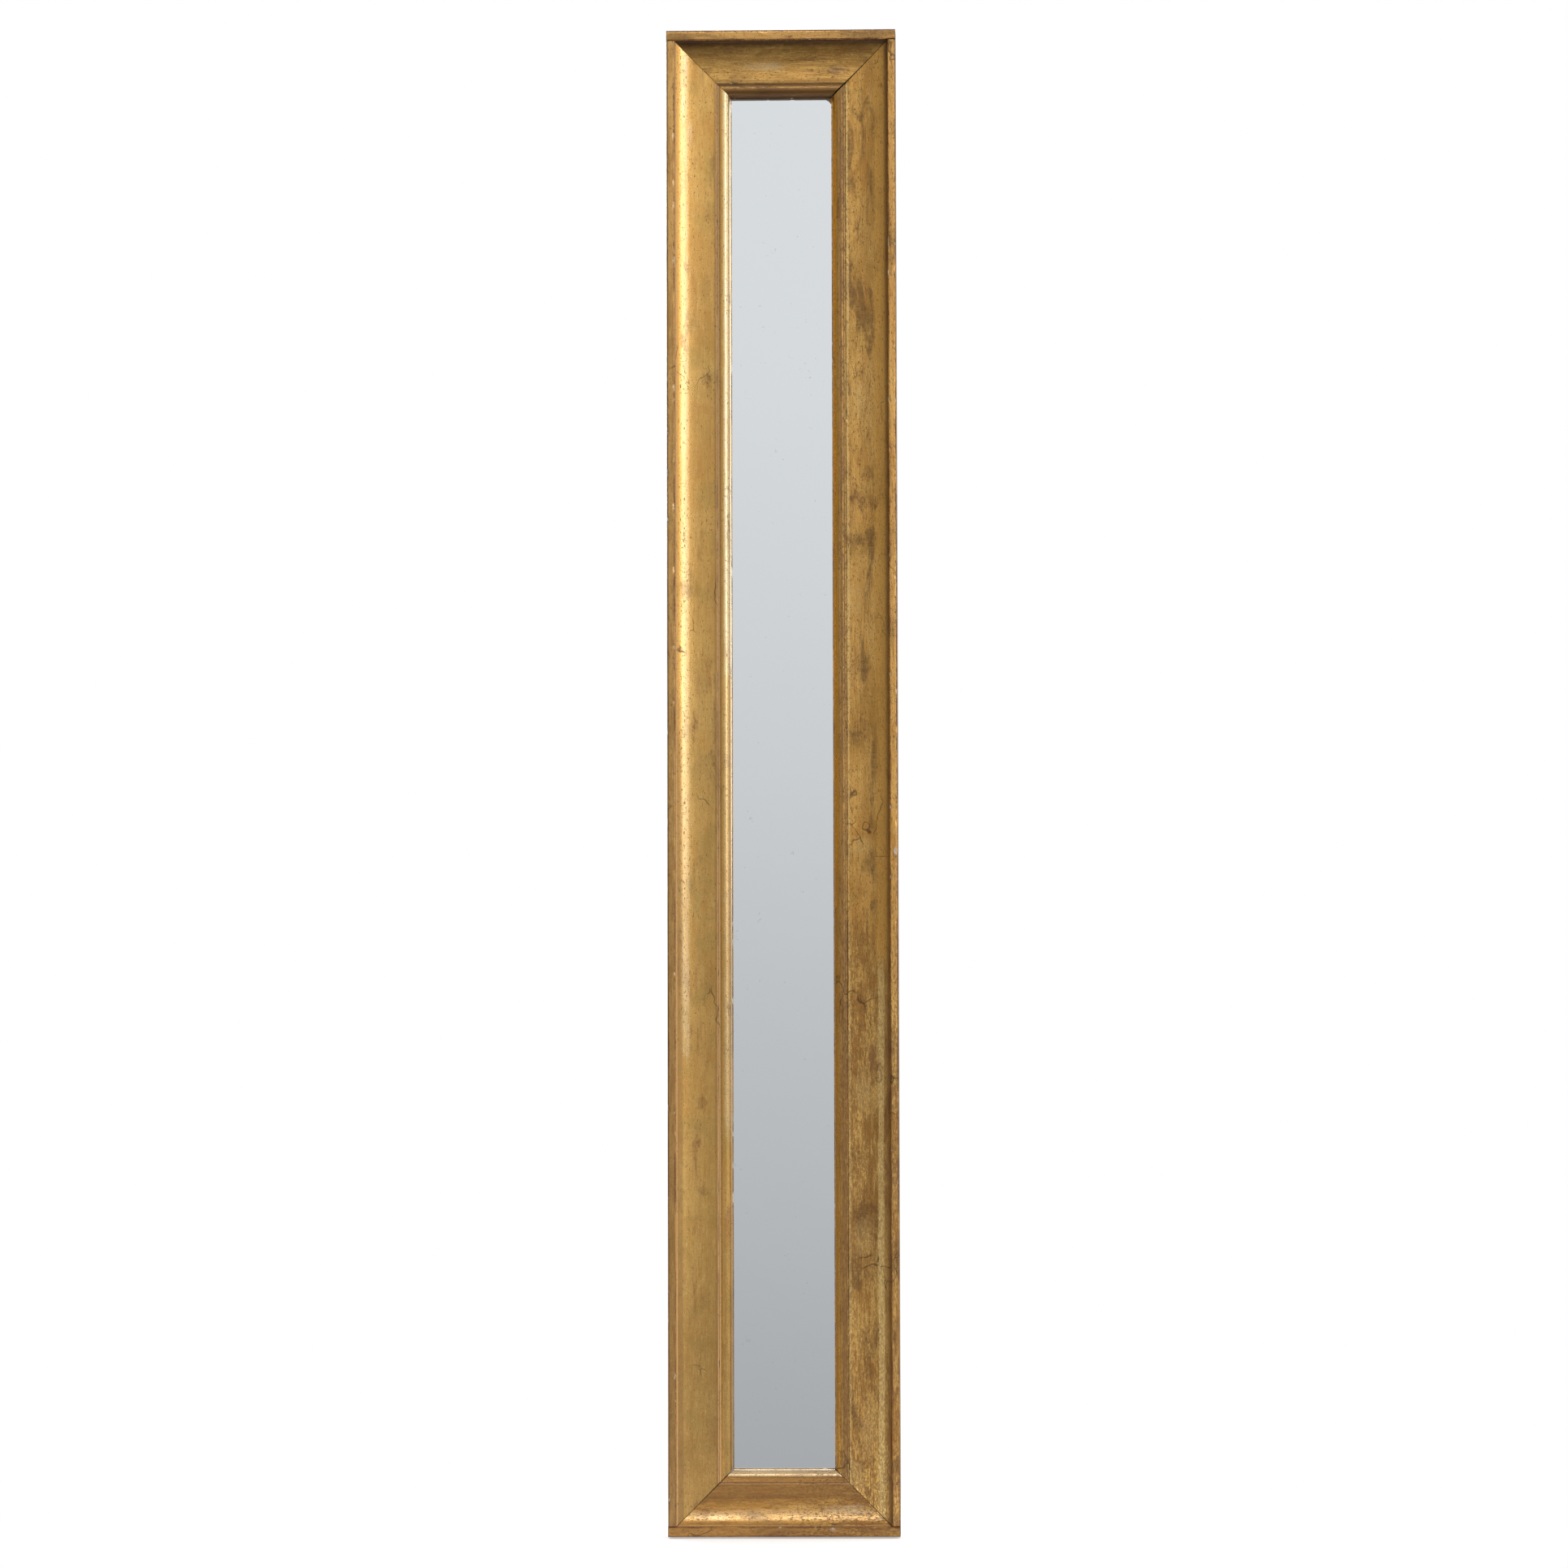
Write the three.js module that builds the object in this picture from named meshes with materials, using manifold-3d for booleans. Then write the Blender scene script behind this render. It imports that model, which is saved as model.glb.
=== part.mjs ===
// A tall, narrow gilded pier mirror that hangs on a wall between two windows.
//
// A half-lapped pine back frame carries four mitred lengths of cove moulding and four of sight
// moulding, with a plain strip nailed round the outside. The silvered plate lies in a rebate behind
// the sight moulding, held by glazing blocks, and three thin backboards close the back. Two rings on
// iron straps hang it from a pair of hooks, and two cork bumpers keep its foot off the wall.
//
// Millimetres. X is to the right seen from the front, Y points back to the wall and Z is up. The
// origin is the centre of the back: the rear face of the backboards and the back frame is y = 0.

import * as THREE from 'three';
import { mergeVertices } from 'three/addons/utils/BufferGeometryUtils.js';
import Module from 'manifold-3d';

const wasm = await Module();
wasm.setup();

// ---- Driving dimensions -------------------------------------------------------------------------

const frameWidth = 284;
const frameHeight = 1858;
const seatGap = 0.3; // glue line or clearance between two pieces that seat on each other

// Outer strips: the end strips run the full width, and the side strips butt against them.
const stripDepth = 46; // rear plane to the front of the rim
const sideStripWidth = 10.5;
const endStripWidth = 13;
const stripOuterRound = 2.5;
const stripInnerRound = 1;

// Cove moulding, measured inwards from the strips.
const coveWidth = 52;
const rimStep = 2.5; // the rim stands this far in front of the cove's outer edge
const coveDrop = 11;
const coveFlat = 12; // the level band on the cove's inner side
const coveSteps = 14;

// Sight moulding: a quirk, a small bead and a quarter round that falls to the plate.
const sightWidth = 17;
const quirkWidth = 1;
const quirkDepth = 1.5; // below the cove's level band
const beadWidth = 5;
const beadRise = 3;
const sightFillet = 0.8; // the thin level edge round the plate
const sightLipHeight = 5.7; // wood in front of the plate at the sight edge
const beadSteps = 4;
const quarterRoundSteps = 9;

// Old mitres that have shrunk open, as the width of the gap at the sight edge.
const topRightMitreGap = 1.5;
const bottomLeftMitreGap = 0.7;
const mitreTightWidth = 16; // the outer part of each mitre is still tight

// Back frame and its two rebates.
const backFrameDepth = 16;
const sightLipOverhang = 9; // how far the sight moulding covers the plate's rebate
const boardLedge = 10;
const pegRadius = 4;
const pegProud = 0.4;

// Silvered plate and what holds it.
const plateThickness = 3;
const plateEdgeClearance = 1.5;
const blockWidth = 7;
const blockLength = 60;
const blocksPerSide = 3;
const blockEndMargin = 190; // from the rebate's end to the middle of the outermost block

// Backboards and their cut nails.
const boardThickness = 7;
const boardCount = 3;
const boardJointGap = 0.8;
const boardChamfer = 1.2;
const nailShank = 2;
const nailTipCover = 2; // wood left in front of a nail's tip
const nailHeadLength = 5.5;
const nailHeadWidth = 3.4;
const nailHeadThickness = 1.1;
const nailHeadSink = 0.15; // below the boards' rear face
const nailFromBoardEnd = 45;

// Hanging rings on iron straps.
const strapWidth = 16;
const strapThickness = 1.5;
const strapLength = 46;
const knuckleMouth = 0.63; // between the curl's end and the strap's leaf
const ringWire = 4;
const ringClearance = 0.3; // ring wire in its knuckle, and over the strap
const ringSideClearance = 1.5;
const ringCornerRadius = 2.6;
const ringLeg = 8; // straight part of each side, before the bow
const ringPivotFromTop = 300;
const screwShankRadius = 1.6;
const screwHeadRadius = 3.3;
const screwTipRadius = 0.9;
const screwHeadSink = 0.1; // below the strap's rear face
const screwTipCover = 3; // wood left in front of a screw's tip
const screwSlotWidth = 0.9;
const screwSlotDepth = 0.7;
const upperScrewFromKnuckle = 7.2;
const lowerScrewFromFoot = 9; // from the strap's lower end

// Cork bumpers at the foot.
const bumperRadius = 9;
const bumperFootRadius = 8;
const bumperAbovePeg = 42;

// ---- Sizes that follow ----------------------------------------------------------------------------

const backFrameHalfWidth = frameWidth / 2 - sideStripWidth - seatGap;
const backFrameHalfHeight = frameHeight / 2 - endStripWidth - seatGap;
const railWidth = coveWidth + seatGap + sightWidth; // back frame's outer face to the sight edge
const plateRebate = railWidth - sightLipOverhang; // outer face to the plate's rebate
const boardRebate = plateRebate - boardLedge; // outer face to the boards' rebate
const lapPlane = boardThickness + seatGap; // rear plane to the half-lap and the boards' ledge
const mouldingBack = backFrameDepth + seatGap;
const coveTop = stripDepth - rimStep;
const coveFloor = coveTop - coveDrop;
const quirkFloor = coveFloor - quirkDepth;
const sightEdgeTop = mouldingBack + sightLipHeight;
const plateHalfWidth = backFrameHalfWidth - plateRebate - plateEdgeClearance;
const plateHalfHeight = backFrameHalfHeight - plateRebate - plateEdgeClearance;
const plateFront = mouldingBack - seatGap;
const plateBack = plateFront - plateThickness;
const stileMiddle = backFrameHalfWidth - boardRebate / 2; // where pegs, straps and bumpers sit
const railMiddle = backFrameHalfHeight - boardRebate / 2;
const knuckleInner = ringWire / 2 + ringClearance;
const knuckleOuter = knuckleInner + strapThickness;
const ringPivotZ = frameHeight / 2 - ringPivotFromTop;
const wallStandOff = 2 * knuckleOuter; // the knuckles touch the wall, and so do the bumpers
const nailLength = backFrameDepth - nailTipCover;
const screwLength = backFrameDepth - screwTipCover;
const past = 5; // how far a cutting block runs out past the wood

// ---- Materials ------------------------------------------------------------------------------------

const gilding = new THREE.MeshStandardMaterial({ color: 0xb08a4e, roughness: 0.42, metalness: 0.85 });
const pine = new THREE.MeshStandardMaterial({ color: 0x8a6a45, roughness: 0.8, metalness: 0 });
const oldPine = new THREE.MeshStandardMaterial({ color: 0x7a5a38, roughness: 0.85, metalness: 0 });
const silvering = new THREE.MeshStandardMaterial({ color: 0xd5dadd, roughness: 0.03, metalness: 1 });
const iron = new THREE.MeshStandardMaterial({ color: 0x4a433d, roughness: 0.6, metalness: 0.8 });
const cork = new THREE.MeshStandardMaterial({ color: 0x9c7750, roughness: 0.95, metalness: 0 });

const mirror = new THREE.Group();

function addPiece(name, geometry, material) {
  const mesh = new THREE.Mesh(geometry, material);
  mesh.name = name;
  mirror.add(mesh);
  return mesh;
}

// ---- Solids ---------------------------------------------------------------------------------------

// A box between two limits on each axis, in either order.
function boxBetween(x0, x1, y0, y1, z0, z1) {
  const box = new THREE.BoxGeometry(Math.abs(x1 - x0), Math.abs(y1 - y0), Math.abs(z1 - z0));
  return box.translate((x0 + x1) / 2, (y0 + y1) / 2, (z0 + z1) / 2);
}

// A round bar along Y, from y0 to y1, with a radius at each end.
function roundAlongY(x, z, y0, y1, radius0, radius1 = radius0, sides = 16) {
  const bar = new THREE.CylinderGeometry(radius1, radius0, y1 - y0, sides);
  return bar.translate(x, (y0 + y1) / 2, z);
}

function toSolid(geometry) {
  const bare = geometry.clone();
  bare.deleteAttribute('normal');
  bare.deleteAttribute('uv');
  const merged = mergeVertices(bare, 1e-4);
  return new wasm.Manifold(new wasm.Mesh({
    numProp: 3,
    vertProperties: merged.attributes.position.array,
    triVerts: new Uint32Array(merged.index.array),
  }));
}

function toGeometry(solid) {
  const { numProp, numVert, vertProperties, triVerts } = solid.getMesh();
  const positions = new Float32Array(numVert * 3);
  for (let i = 0; i < numVert; i += 1) {
    positions.set(vertProperties.subarray(i * numProp, i * numProp + 3), i * 3);
  }
  const geometry = new THREE.BufferGeometry();
  geometry.setAttribute('position', new THREE.BufferAttribute(positions, 3));
  geometry.setIndex(new THREE.BufferAttribute(triVerts, 1));
  const flat = geometry.toNonIndexed();
  flat.computeVertexNormals();
  return flat;
}

// Joins the first geometries and cuts the others out of them.
function joinAndCut(joined, cuts = []) {
  let solid = toSolid(joined[0]);
  for (const geometry of joined.slice(1)) solid = solid.add(toSolid(geometry));
  for (const geometry of cuts) solid = solid.subtract(toSolid(geometry));
  return toGeometry(solid);
}

// ---- Frame sides ----------------------------------------------------------------------------------

// The four sides in order round the frame, each made as the bottom one and turned about Y. The start
// of each side is the corner that it shares with the one before.
const sides = [
  { name: 'bottom', turn: 0, halfLength: backFrameHalfWidth, reach: backFrameHalfHeight,
    startGap: bottomLeftMitreGap, endGap: 0 },
  { name: 'right', turn: -Math.PI / 2, halfLength: backFrameHalfHeight, reach: backFrameHalfWidth,
    startGap: 0, endGap: topRightMitreGap },
  { name: 'top', turn: Math.PI, halfLength: backFrameHalfWidth, reach: backFrameHalfHeight,
    startGap: topRightMitreGap, endGap: 0 },
  { name: 'left', turn: Math.PI / 2, halfLength: backFrameHalfHeight, reach: backFrameHalfWidth,
    startGap: 0, endGap: bottomLeftMitreGap },
];

// How far back a mitre is cut at a distance in from the back frame's outer face. Two sides share a
// gap, and the cut runs at 45 degrees, so each gives up the gap over the root of two.
function mitreTrim(inwards, openGap) {
  const opened = THREE.MathUtils.clamp((inwards - mitreTightWidth) / (railWidth - mitreTightWidth), 0, 1);
  return Math.max(seatGap, openGap * opened) / Math.SQRT2;
}

// A moulding with a mitre at both ends. The profile's points are [inwards, forwards] from the back
// frame's outer face and the rear plane.
function mitredMoulding(profile, side) {
  const section = new THREE.Shape(profile.map(([inwards, forwards]) => new THREE.Vector2(inwards, forwards)));
  const geometry = new THREE.ExtrudeGeometry(section, { depth: 1, steps: 1, bevelEnabled: false });
  const position = geometry.getAttribute('position');
  for (let i = 0; i < position.count; i += 1) {
    const inwards = position.getX(i);
    const forwards = position.getY(i);
    const atEnd = position.getZ(i) > 0.5;
    const trim = mitreTrim(inwards, atEnd ? side.endGap : side.startGap);
    const along = (side.halfLength - inwards - trim) * (atEnd ? 1 : -1);
    position.setXYZ(i, along, -forwards, inwards - side.reach);
  }
  geometry.computeVertexNormals();
  return geometry;
}

// Points on a quarter of an ellipse round (centreU, centreV), from one angle to another in degrees.
function ellipseArc(centreU, centreV, radiusU, radiusV, from, to, steps) {
  const points = [];
  for (let i = 0; i <= steps; i += 1) {
    const angle = THREE.MathUtils.degToRad(from + ((to - from) * i) / steps);
    points.push([centreU + radiusU * Math.cos(angle), centreV + radiusV * Math.sin(angle)]);
  }
  return points;
}

// The cove falls steeply from the rim and flattens into a level band.
function coveProfile() {
  const hollowWidth = coveWidth - coveFlat;
  const hollow = ellipseArc(hollowWidth, coveTop, hollowWidth, coveDrop, 180, 270, coveSteps);
  return [[0, mouldingBack], [coveWidth, mouldingBack], [coveWidth, coveFloor], ...hollow.reverse()];
}

// The sight moulding starts a glue line in from the cove.
function sightProfile() {
  const start = coveWidth + seatGap;
  const end = start + sightWidth;
  const crest = start + quirkWidth + beadWidth;
  const fall = sightWidth - quirkWidth - beadWidth - sightFillet;
  const crestTop = quirkFloor + beadRise;
  const bead = ellipseArc(crest, quirkFloor, beadWidth, beadRise, 180, 90, beadSteps);
  const rise = crestTop - sightEdgeTop;
  const quarterRound = ellipseArc(crest, sightEdgeTop, fall, rise, 90, 0, quarterRoundSteps);
  const front = [[start, quirkFloor], ...bead, ...quarterRound.slice(1), [end, sightEdgeTop]];
  return [[start, mouldingBack], ...front, [end, mouldingBack]].reverse();
}

// A plain strip with a soft outer arris. The end strips are wider than the side strips.
function outerStrip(side) {
  const isEnd = side.name === 'top' || side.name === 'bottom';
  const width = isEnd ? endStripWidth : sideStripWidth;
  const halfLength = isEnd ? frameWidth / 2 : frameHeight / 2 - endStripWidth - seatGap;
  const section = new THREE.Shape();
  section.moveTo(0, 0);
  section.lineTo(width, 0);
  section.lineTo(width, stripDepth - stripInnerRound);
  section.absarc(width - stripInnerRound, stripDepth - stripInnerRound, stripInnerRound, 0, Math.PI / 2);
  section.lineTo(stripOuterRound, stripDepth);
  section.absarc(stripOuterRound, stripDepth - stripOuterRound, stripOuterRound, Math.PI / 2, Math.PI);
  section.lineTo(0, 0);
  const options = { depth: 2 * halfLength, steps: 1, bevelEnabled: false, curveSegments: 5 };
  const geometry = new THREE.ExtrudeGeometry(section, options);
  const outerFace = side.reach + seatGap + width;
  const position = geometry.getAttribute('position');
  for (let i = 0; i < position.count; i += 1) {
    const inwards = position.getX(i);
    position.setXYZ(i, position.getZ(i) - halfLength, -position.getY(i), inwards - outerFace);
  }
  geometry.computeVertexNormals();
  return geometry;
}

for (const side of sides) {
  const cove = addPiece(`cove_moulding_${side.name}`, mitredMoulding(coveProfile(), side), gilding);
  const sight = addPiece(`sight_moulding_${side.name}`, mitredMoulding(sightProfile(), side), gilding);
  const strip = addPiece(`outer_strip_${side.name}`, outerStrip(side), gilding);
  for (const piece of [cove, sight, strip]) piece.rotation.y = side.turn;
}

// ---- Backboards -----------------------------------------------------------------------------------

const boardHalfWidth = backFrameHalfWidth - boardRebate - seatGap;
const boardsLength = 2 * (backFrameHalfHeight - boardRebate - seatGap);
const boardLength = (boardsLength - (boardCount - 1) * boardJointGap) / boardCount;
const boardMiddles = Array.from({ length: boardCount }, (_, i) => (
  -boardsLength / 2 + boardLength / 2 + i * (boardLength + boardJointGap)
));
const boardNames = boardCount === 3 ? ['lower', 'middle', 'upper'] : boardMiddles.map((_, i) => `${i + 1}`);

// Nails stand over the middle of the ledge, one near each corner of a board.
const nailX = boardHalfWidth + seatGap - boardLedge / 2;
const nails = boardMiddles.flatMap((middle, i) => [-1, 1].flatMap((leftRight) => [-1, 1].map((downUp) => ({
  name: `${boardNames[i]}_${leftRight < 0 ? 'left' : 'right'}_${downUp < 0 ? 'bottom' : 'top'}`,
  x: leftRight * nailX,
  z: middle + downUp * (boardLength / 2 - nailFromBoardEnd),
}))));

// A cut nail driven flush, or with a clearance the hole that it makes.
function cutNail({ x, z }, clearance) {
  const shank = nailShank / 2 + clearance;
  const wide = nailHeadWidth / 2 + clearance;
  const long = nailHeadLength / 2 + clearance;
  const headFront = -nailHeadSink - nailHeadThickness - clearance;
  const headBack = clearance > 0 ? past : -nailHeadSink;
  const tip = -nailLength - clearance;
  return [
    boxBetween(x - wide, x + wide, headFront, headBack, z - long, z + long),
    boxBetween(x - shank, x + shank, tip, headFront + nailHeadThickness / 2, z - shank, z + shank),
  ];
}

// A thin board with its rear arrises taken off.
function backboard(middle) {
  const section = new THREE.Shape();
  section.moveTo(-boardHalfWidth, -boardThickness);
  section.lineTo(boardHalfWidth, -boardThickness);
  section.lineTo(boardHalfWidth, -boardChamfer);
  section.lineTo(boardHalfWidth - boardChamfer, 0);
  section.lineTo(boardChamfer - boardHalfWidth, 0);
  section.lineTo(-boardHalfWidth, -boardChamfer);
  section.closePath();
  const geometry = new THREE.ExtrudeGeometry(section, { depth: boardLength, steps: 1, bevelEnabled: false });
  return geometry.translate(0, 0, middle - boardLength / 2);
}

boardMiddles.forEach((middle, i) => {
  const own = nails.filter(({ z }) => Math.abs(z - middle) < boardLength / 2);
  const holes = own.flatMap((nail) => cutNail(nail, seatGap));
  addPiece(`backboard_${boardNames[i]}`, joinAndCut([backboard(middle)], holes), oldPine);
});
for (const nail of nails) addPiece(`board_nail_${nail.name}`, joinAndCut(cutNail(nail, 0)), iron);

// ---- Hanging hardware ------------------------------------------------------------------------------

const hangerSides = [['left', -stileMiddle], ['right', stileMiddle]];
const hangerScrews = hangerSides.flatMap(([sideName, x]) => (
  [['upper', -knuckleOuter - upperScrewFromKnuckle], ['lower', lowerScrewFromFoot - strapLength]]
    .map(([place, up]) => ({ name: `${sideName}_${place}`, sideName, x, z: ringPivotZ + up }))
));

// A strap seen from its edge: a flat leaf whose top curls round the ring's bar.
function strapProfile() {
  const knuckleEnd = -Math.acos((strapThickness + knuckleMouth) / knuckleOuter - 1);
  const section = new THREE.Shape();
  section.moveTo(0, -strapLength);
  section.lineTo(strapThickness, -strapLength);
  section.lineTo(strapThickness, 0);
  section.absarc(knuckleOuter, 0, knuckleInner, Math.PI, knuckleEnd, true);
  section.absarc(knuckleOuter, 0, knuckleOuter, knuckleEnd, Math.PI, false);
  section.closePath();
  return section;
}

// The strap lies on the stile's rear face with its knuckle's axis along X at the pivot.
function hangerStrap(x) {
  const options = { depth: strapWidth, steps: 1, bevelEnabled: false, curveSegments: 16 };
  const geometry = new THREE.ExtrudeGeometry(strapProfile(), options);
  const position = geometry.getAttribute('position');
  for (let i = 0; i < position.count; i += 1) {
    const across = position.getZ(i) - strapWidth / 2;
    position.setXYZ(i, x + across, position.getX(i), ringPivotZ + position.getY(i));
  }
  return geometry;
}

// A countersunk wood screw, or with a clearance the hole that it needs.
function screwBody({ x, z }, clearance) {
  const headDepth = strapThickness - screwHeadSink;
  const slope = (screwHeadRadius - screwShankRadius) / headDepth;
  const headBack = headDepth + clearance;
  const shank = screwShankRadius + clearance;
  const tip = clearance > 0 ? shank : screwTipRadius;
  return [
    roundAlongY(x, z, 0, headBack, shank, shank + slope * headBack, 20),
    roundAlongY(x, z, -screwLength - clearance, headDepth / 2, tip, shank, 12),
  ];
}

function screwSlot({ x, z }) {
  const head = strapThickness - screwHeadSink;
  const long = screwHeadRadius * 2;
  const wide = screwSlotWidth / 2;
  return boxBetween(x - long, x + long, head - screwSlotDepth, head + screwSlotDepth, z - wide, z + wide);
}

for (const [sideName, x] of hangerSides) {
  const own = hangerScrews.filter((screw) => screw.sideName === sideName);
  const holes = own.flatMap((screw) => screwBody(screw, seatGap));
  addPiece(`hanger_strap_${sideName}`, joinAndCut([hangerStrap(x)], holes), iron);
}
for (const screw of hangerScrews) {
  addPiece(`hanger_screw_${screw.name}`, joinAndCut(screwBody(screw, 0), [screwSlot(screw)]), iron);
}

// The centreline of the ring as it hangs, in X and Z from its pivot: a bar through the knuckle, two
// short legs and a half-round bow.
function ringCentreline() {
  const half = strapWidth / 2 + ringSideClearance + ringWire / 2;
  const path = new THREE.Path();
  path.moveTo(ringCornerRadius - half, 0);
  path.lineTo(half - ringCornerRadius, 0);
  path.absarc(half - ringCornerRadius, -ringCornerRadius, ringCornerRadius, Math.PI / 2, 0, true);
  path.lineTo(half, -ringLeg);
  path.absarc(0, -ringLeg, half, 0, -Math.PI, true);
  path.lineTo(-half, -ringCornerRadius);
  path.absarc(ringCornerRadius - half, -ringCornerRadius, ringCornerRadius, Math.PI, Math.PI / 2, true);
  const points = path.getPoints(6);
  return points.filter((point, i) => i === 0 || point.distanceTo(points[i - 1]) > 1e-6).slice(0, -1);
}

// A round wire bent along a closed line in a plane that faces Y.
function wireLoop(line, wireRadius, x, y, z, sectionSides = 10) {
  const positions = [];
  const indices = [];
  line.forEach((point, i) => {
    const before = line[(i + line.length - 1) % line.length];
    const after = line[(i + 1) % line.length];
    const incoming = point.clone().sub(before).normalize();
    const outgoing = after.clone().sub(point).normalize();
    const along = incoming.clone().add(outgoing).normalize();
    const widen = 1 / along.dot(incoming); // keeps the wire's thickness through a bend
    for (let k = 0; k < sectionSides; k += 1) {
      const angle = (2 * Math.PI * k) / sectionSides;
      const outwards = wireRadius * Math.cos(angle) * widen;
      positions.push(
        x + point.x - along.y * outwards,
        y + wireRadius * Math.sin(angle),
        z + point.y + along.x * outwards,
      );
      const here = i * sectionSides + k;
      const beside = i * sectionSides + ((k + 1) % sectionSides);
      const ahead = ((i + 1) % line.length) * sectionSides + k;
      const diagonal = ((i + 1) % line.length) * sectionSides + ((k + 1) % sectionSides);
      indices.push(here, diagonal, beside, here, ahead, diagonal);
    }
  });
  const geometry = new THREE.BufferGeometry();
  geometry.setAttribute('position', new THREE.Float32BufferAttribute(positions, 3));
  geometry.setIndex(indices);
  geometry.computeVertexNormals();
  return geometry;
}

for (const [sideName, x] of hangerSides) {
  const loop = wireLoop(ringCentreline(), ringWire / 2, x, knuckleOuter, ringPivotZ);
  addPiece(`hanging_ring_${sideName}`, loop, iron);
}

// Bumpers stand out from the back as far as the knuckles, so that the mirror hangs parallel.
const bumperZ = bumperAbovePeg - railMiddle;
for (const [sideName, x] of hangerSides) {
  const disc = roundAlongY(x, bumperZ, 0, wallStandOff, bumperRadius, bumperFootRadius, 28);
  addPiece(`wall_bumper_${sideName}`, disc, cork);
}

// ---- Back frame -----------------------------------------------------------------------------------

// Stiles and rails are bars with a rebate for the boards and a half-lap at each end. The stiles keep
// their rear half at the corners and the rails keep their front half.
const stileFrontHalfLength = backFrameHalfHeight - plateRebate - seatGap;
const railBackHalfLength = backFrameHalfWidth - boardRebate - seatGap;

const pegs = [['bottom', -1], ['top', 1]].flatMap(([endName, up]) => hangerSides.map(([sideName, x]) => ({
  name: `${endName}_${sideName}`, x, z: up * railMiddle,
})));

function pegHole({ x, z }) {
  return roundAlongY(x, z, -backFrameDepth - past, past, pegRadius + seatGap);
}

// The left stile has a side of -1, and so has the bottom rail.
function stile(side) {
  const boardWall = side * (backFrameHalfWidth - boardRebate);
  const plateWall = side * (backFrameHalfWidth - plateRebate);
  const inner = plateWall - side * past;
  const outer = side * (backFrameHalfWidth + past);
  const end = backFrameHalfHeight;
  const front = -backFrameDepth - past;
  const onThisSide = ({ x }) => Math.sign(x) === side;
  return joinAndCut(
    [boxBetween(plateWall, side * backFrameHalfWidth, -backFrameDepth, 0, -end, end)],
    [
      boxBetween(inner, boardWall, -lapPlane, past, -end - past, end + past),
      boxBetween(inner, outer, front, -lapPlane, stileFrontHalfLength, end + past),
      boxBetween(inner, outer, front, -lapPlane, -stileFrontHalfLength, -end - past),
      ...pegs.filter(onThisSide).map(pegHole),
      ...nails.filter(onThisSide).map((nail) => cutNail(nail, seatGap)[1]),
      ...hangerScrews.filter(onThisSide).map((screw) => screwBody(screw, seatGap)[1]),
    ],
  );
}

function rail(side) {
  const boardWall = side * (backFrameHalfHeight - boardRebate);
  const plateWall = side * (backFrameHalfHeight - plateRebate);
  const inner = plateWall - side * past;
  const outer = side * (backFrameHalfHeight + past);
  const end = backFrameHalfWidth;
  const lapFace = -lapPlane - seatGap;
  return joinAndCut(
    [boxBetween(-end, end, -backFrameDepth, 0, plateWall, side * backFrameHalfHeight)],
    [
      boxBetween(-end - past, end + past, -lapPlane, past, inner, boardWall),
      boxBetween(railBackHalfLength, end + past, lapFace, past, inner, outer),
      boxBetween(-railBackHalfLength, -end - past, lapFace, past, inner, outer),
      ...pegs.filter(({ z }) => Math.sign(z) === side).map(pegHole),
    ],
  );
}

addPiece('back_frame_stile_left', stile(-1), pine);
addPiece('back_frame_stile_right', stile(1), pine);
addPiece('back_frame_rail_bottom', rail(-1), pine);
addPiece('back_frame_rail_top', rail(1), pine);
for (const { name, x, z } of pegs) {
  addPiece(`corner_peg_${name}`, roundAlongY(x, z, -backFrameDepth, pegProud, pegRadius), oldPine);
}

// ---- Plate and glazing blocks ---------------------------------------------------------------------

addPiece(
  'mirror_plate',
  boxBetween(-plateHalfWidth, plateHalfWidth, -plateFront, -plateBack, -plateHalfHeight, plateHalfHeight),
  silvering,
);

// Blocks fill the space between the plate and the boards, against the walls of the rebate.
const blockBack = -boardThickness - seatGap;
const blockFront = -plateBack + seatGap;
const blockOuterX = backFrameHalfWidth - plateRebate - seatGap;
const blockOuterZ = backFrameHalfHeight - plateRebate - seatGap;
const blockSpan = 2 * (blockOuterZ - blockEndMargin);

for (const [sideName, leftRight] of [['left', -1], ['right', 1]]) {
  const near = leftRight * (blockOuterX - blockWidth);
  const wall = leftRight * blockOuterX;
  for (let i = 0; i < blocksPerSide; i += 1) {
    const z = -blockSpan / 2 + (blockSpan * i) / (blocksPerSide - 1);
    const block = boxBetween(near, wall, blockFront, blockBack, z - blockLength / 2, z + blockLength / 2);
    addPiece(`glazing_block_${sideName}_${i + 1}`, block, pine);
  }
}
for (const [endName, downUp] of [['bottom', -1], ['top', 1]]) {
  const near = downUp * (blockOuterZ - blockWidth);
  const wall = downUp * blockOuterZ;
  const block = boxBetween(-blockLength / 2, blockLength / 2, blockFront, blockBack, near, wall);
  addPiece(`glazing_block_${endName}`, block, pine);
}

export default mirror;
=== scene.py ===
import math

import bmesh
import bpy
from mathutils import Matrix, Vector, noise


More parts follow.
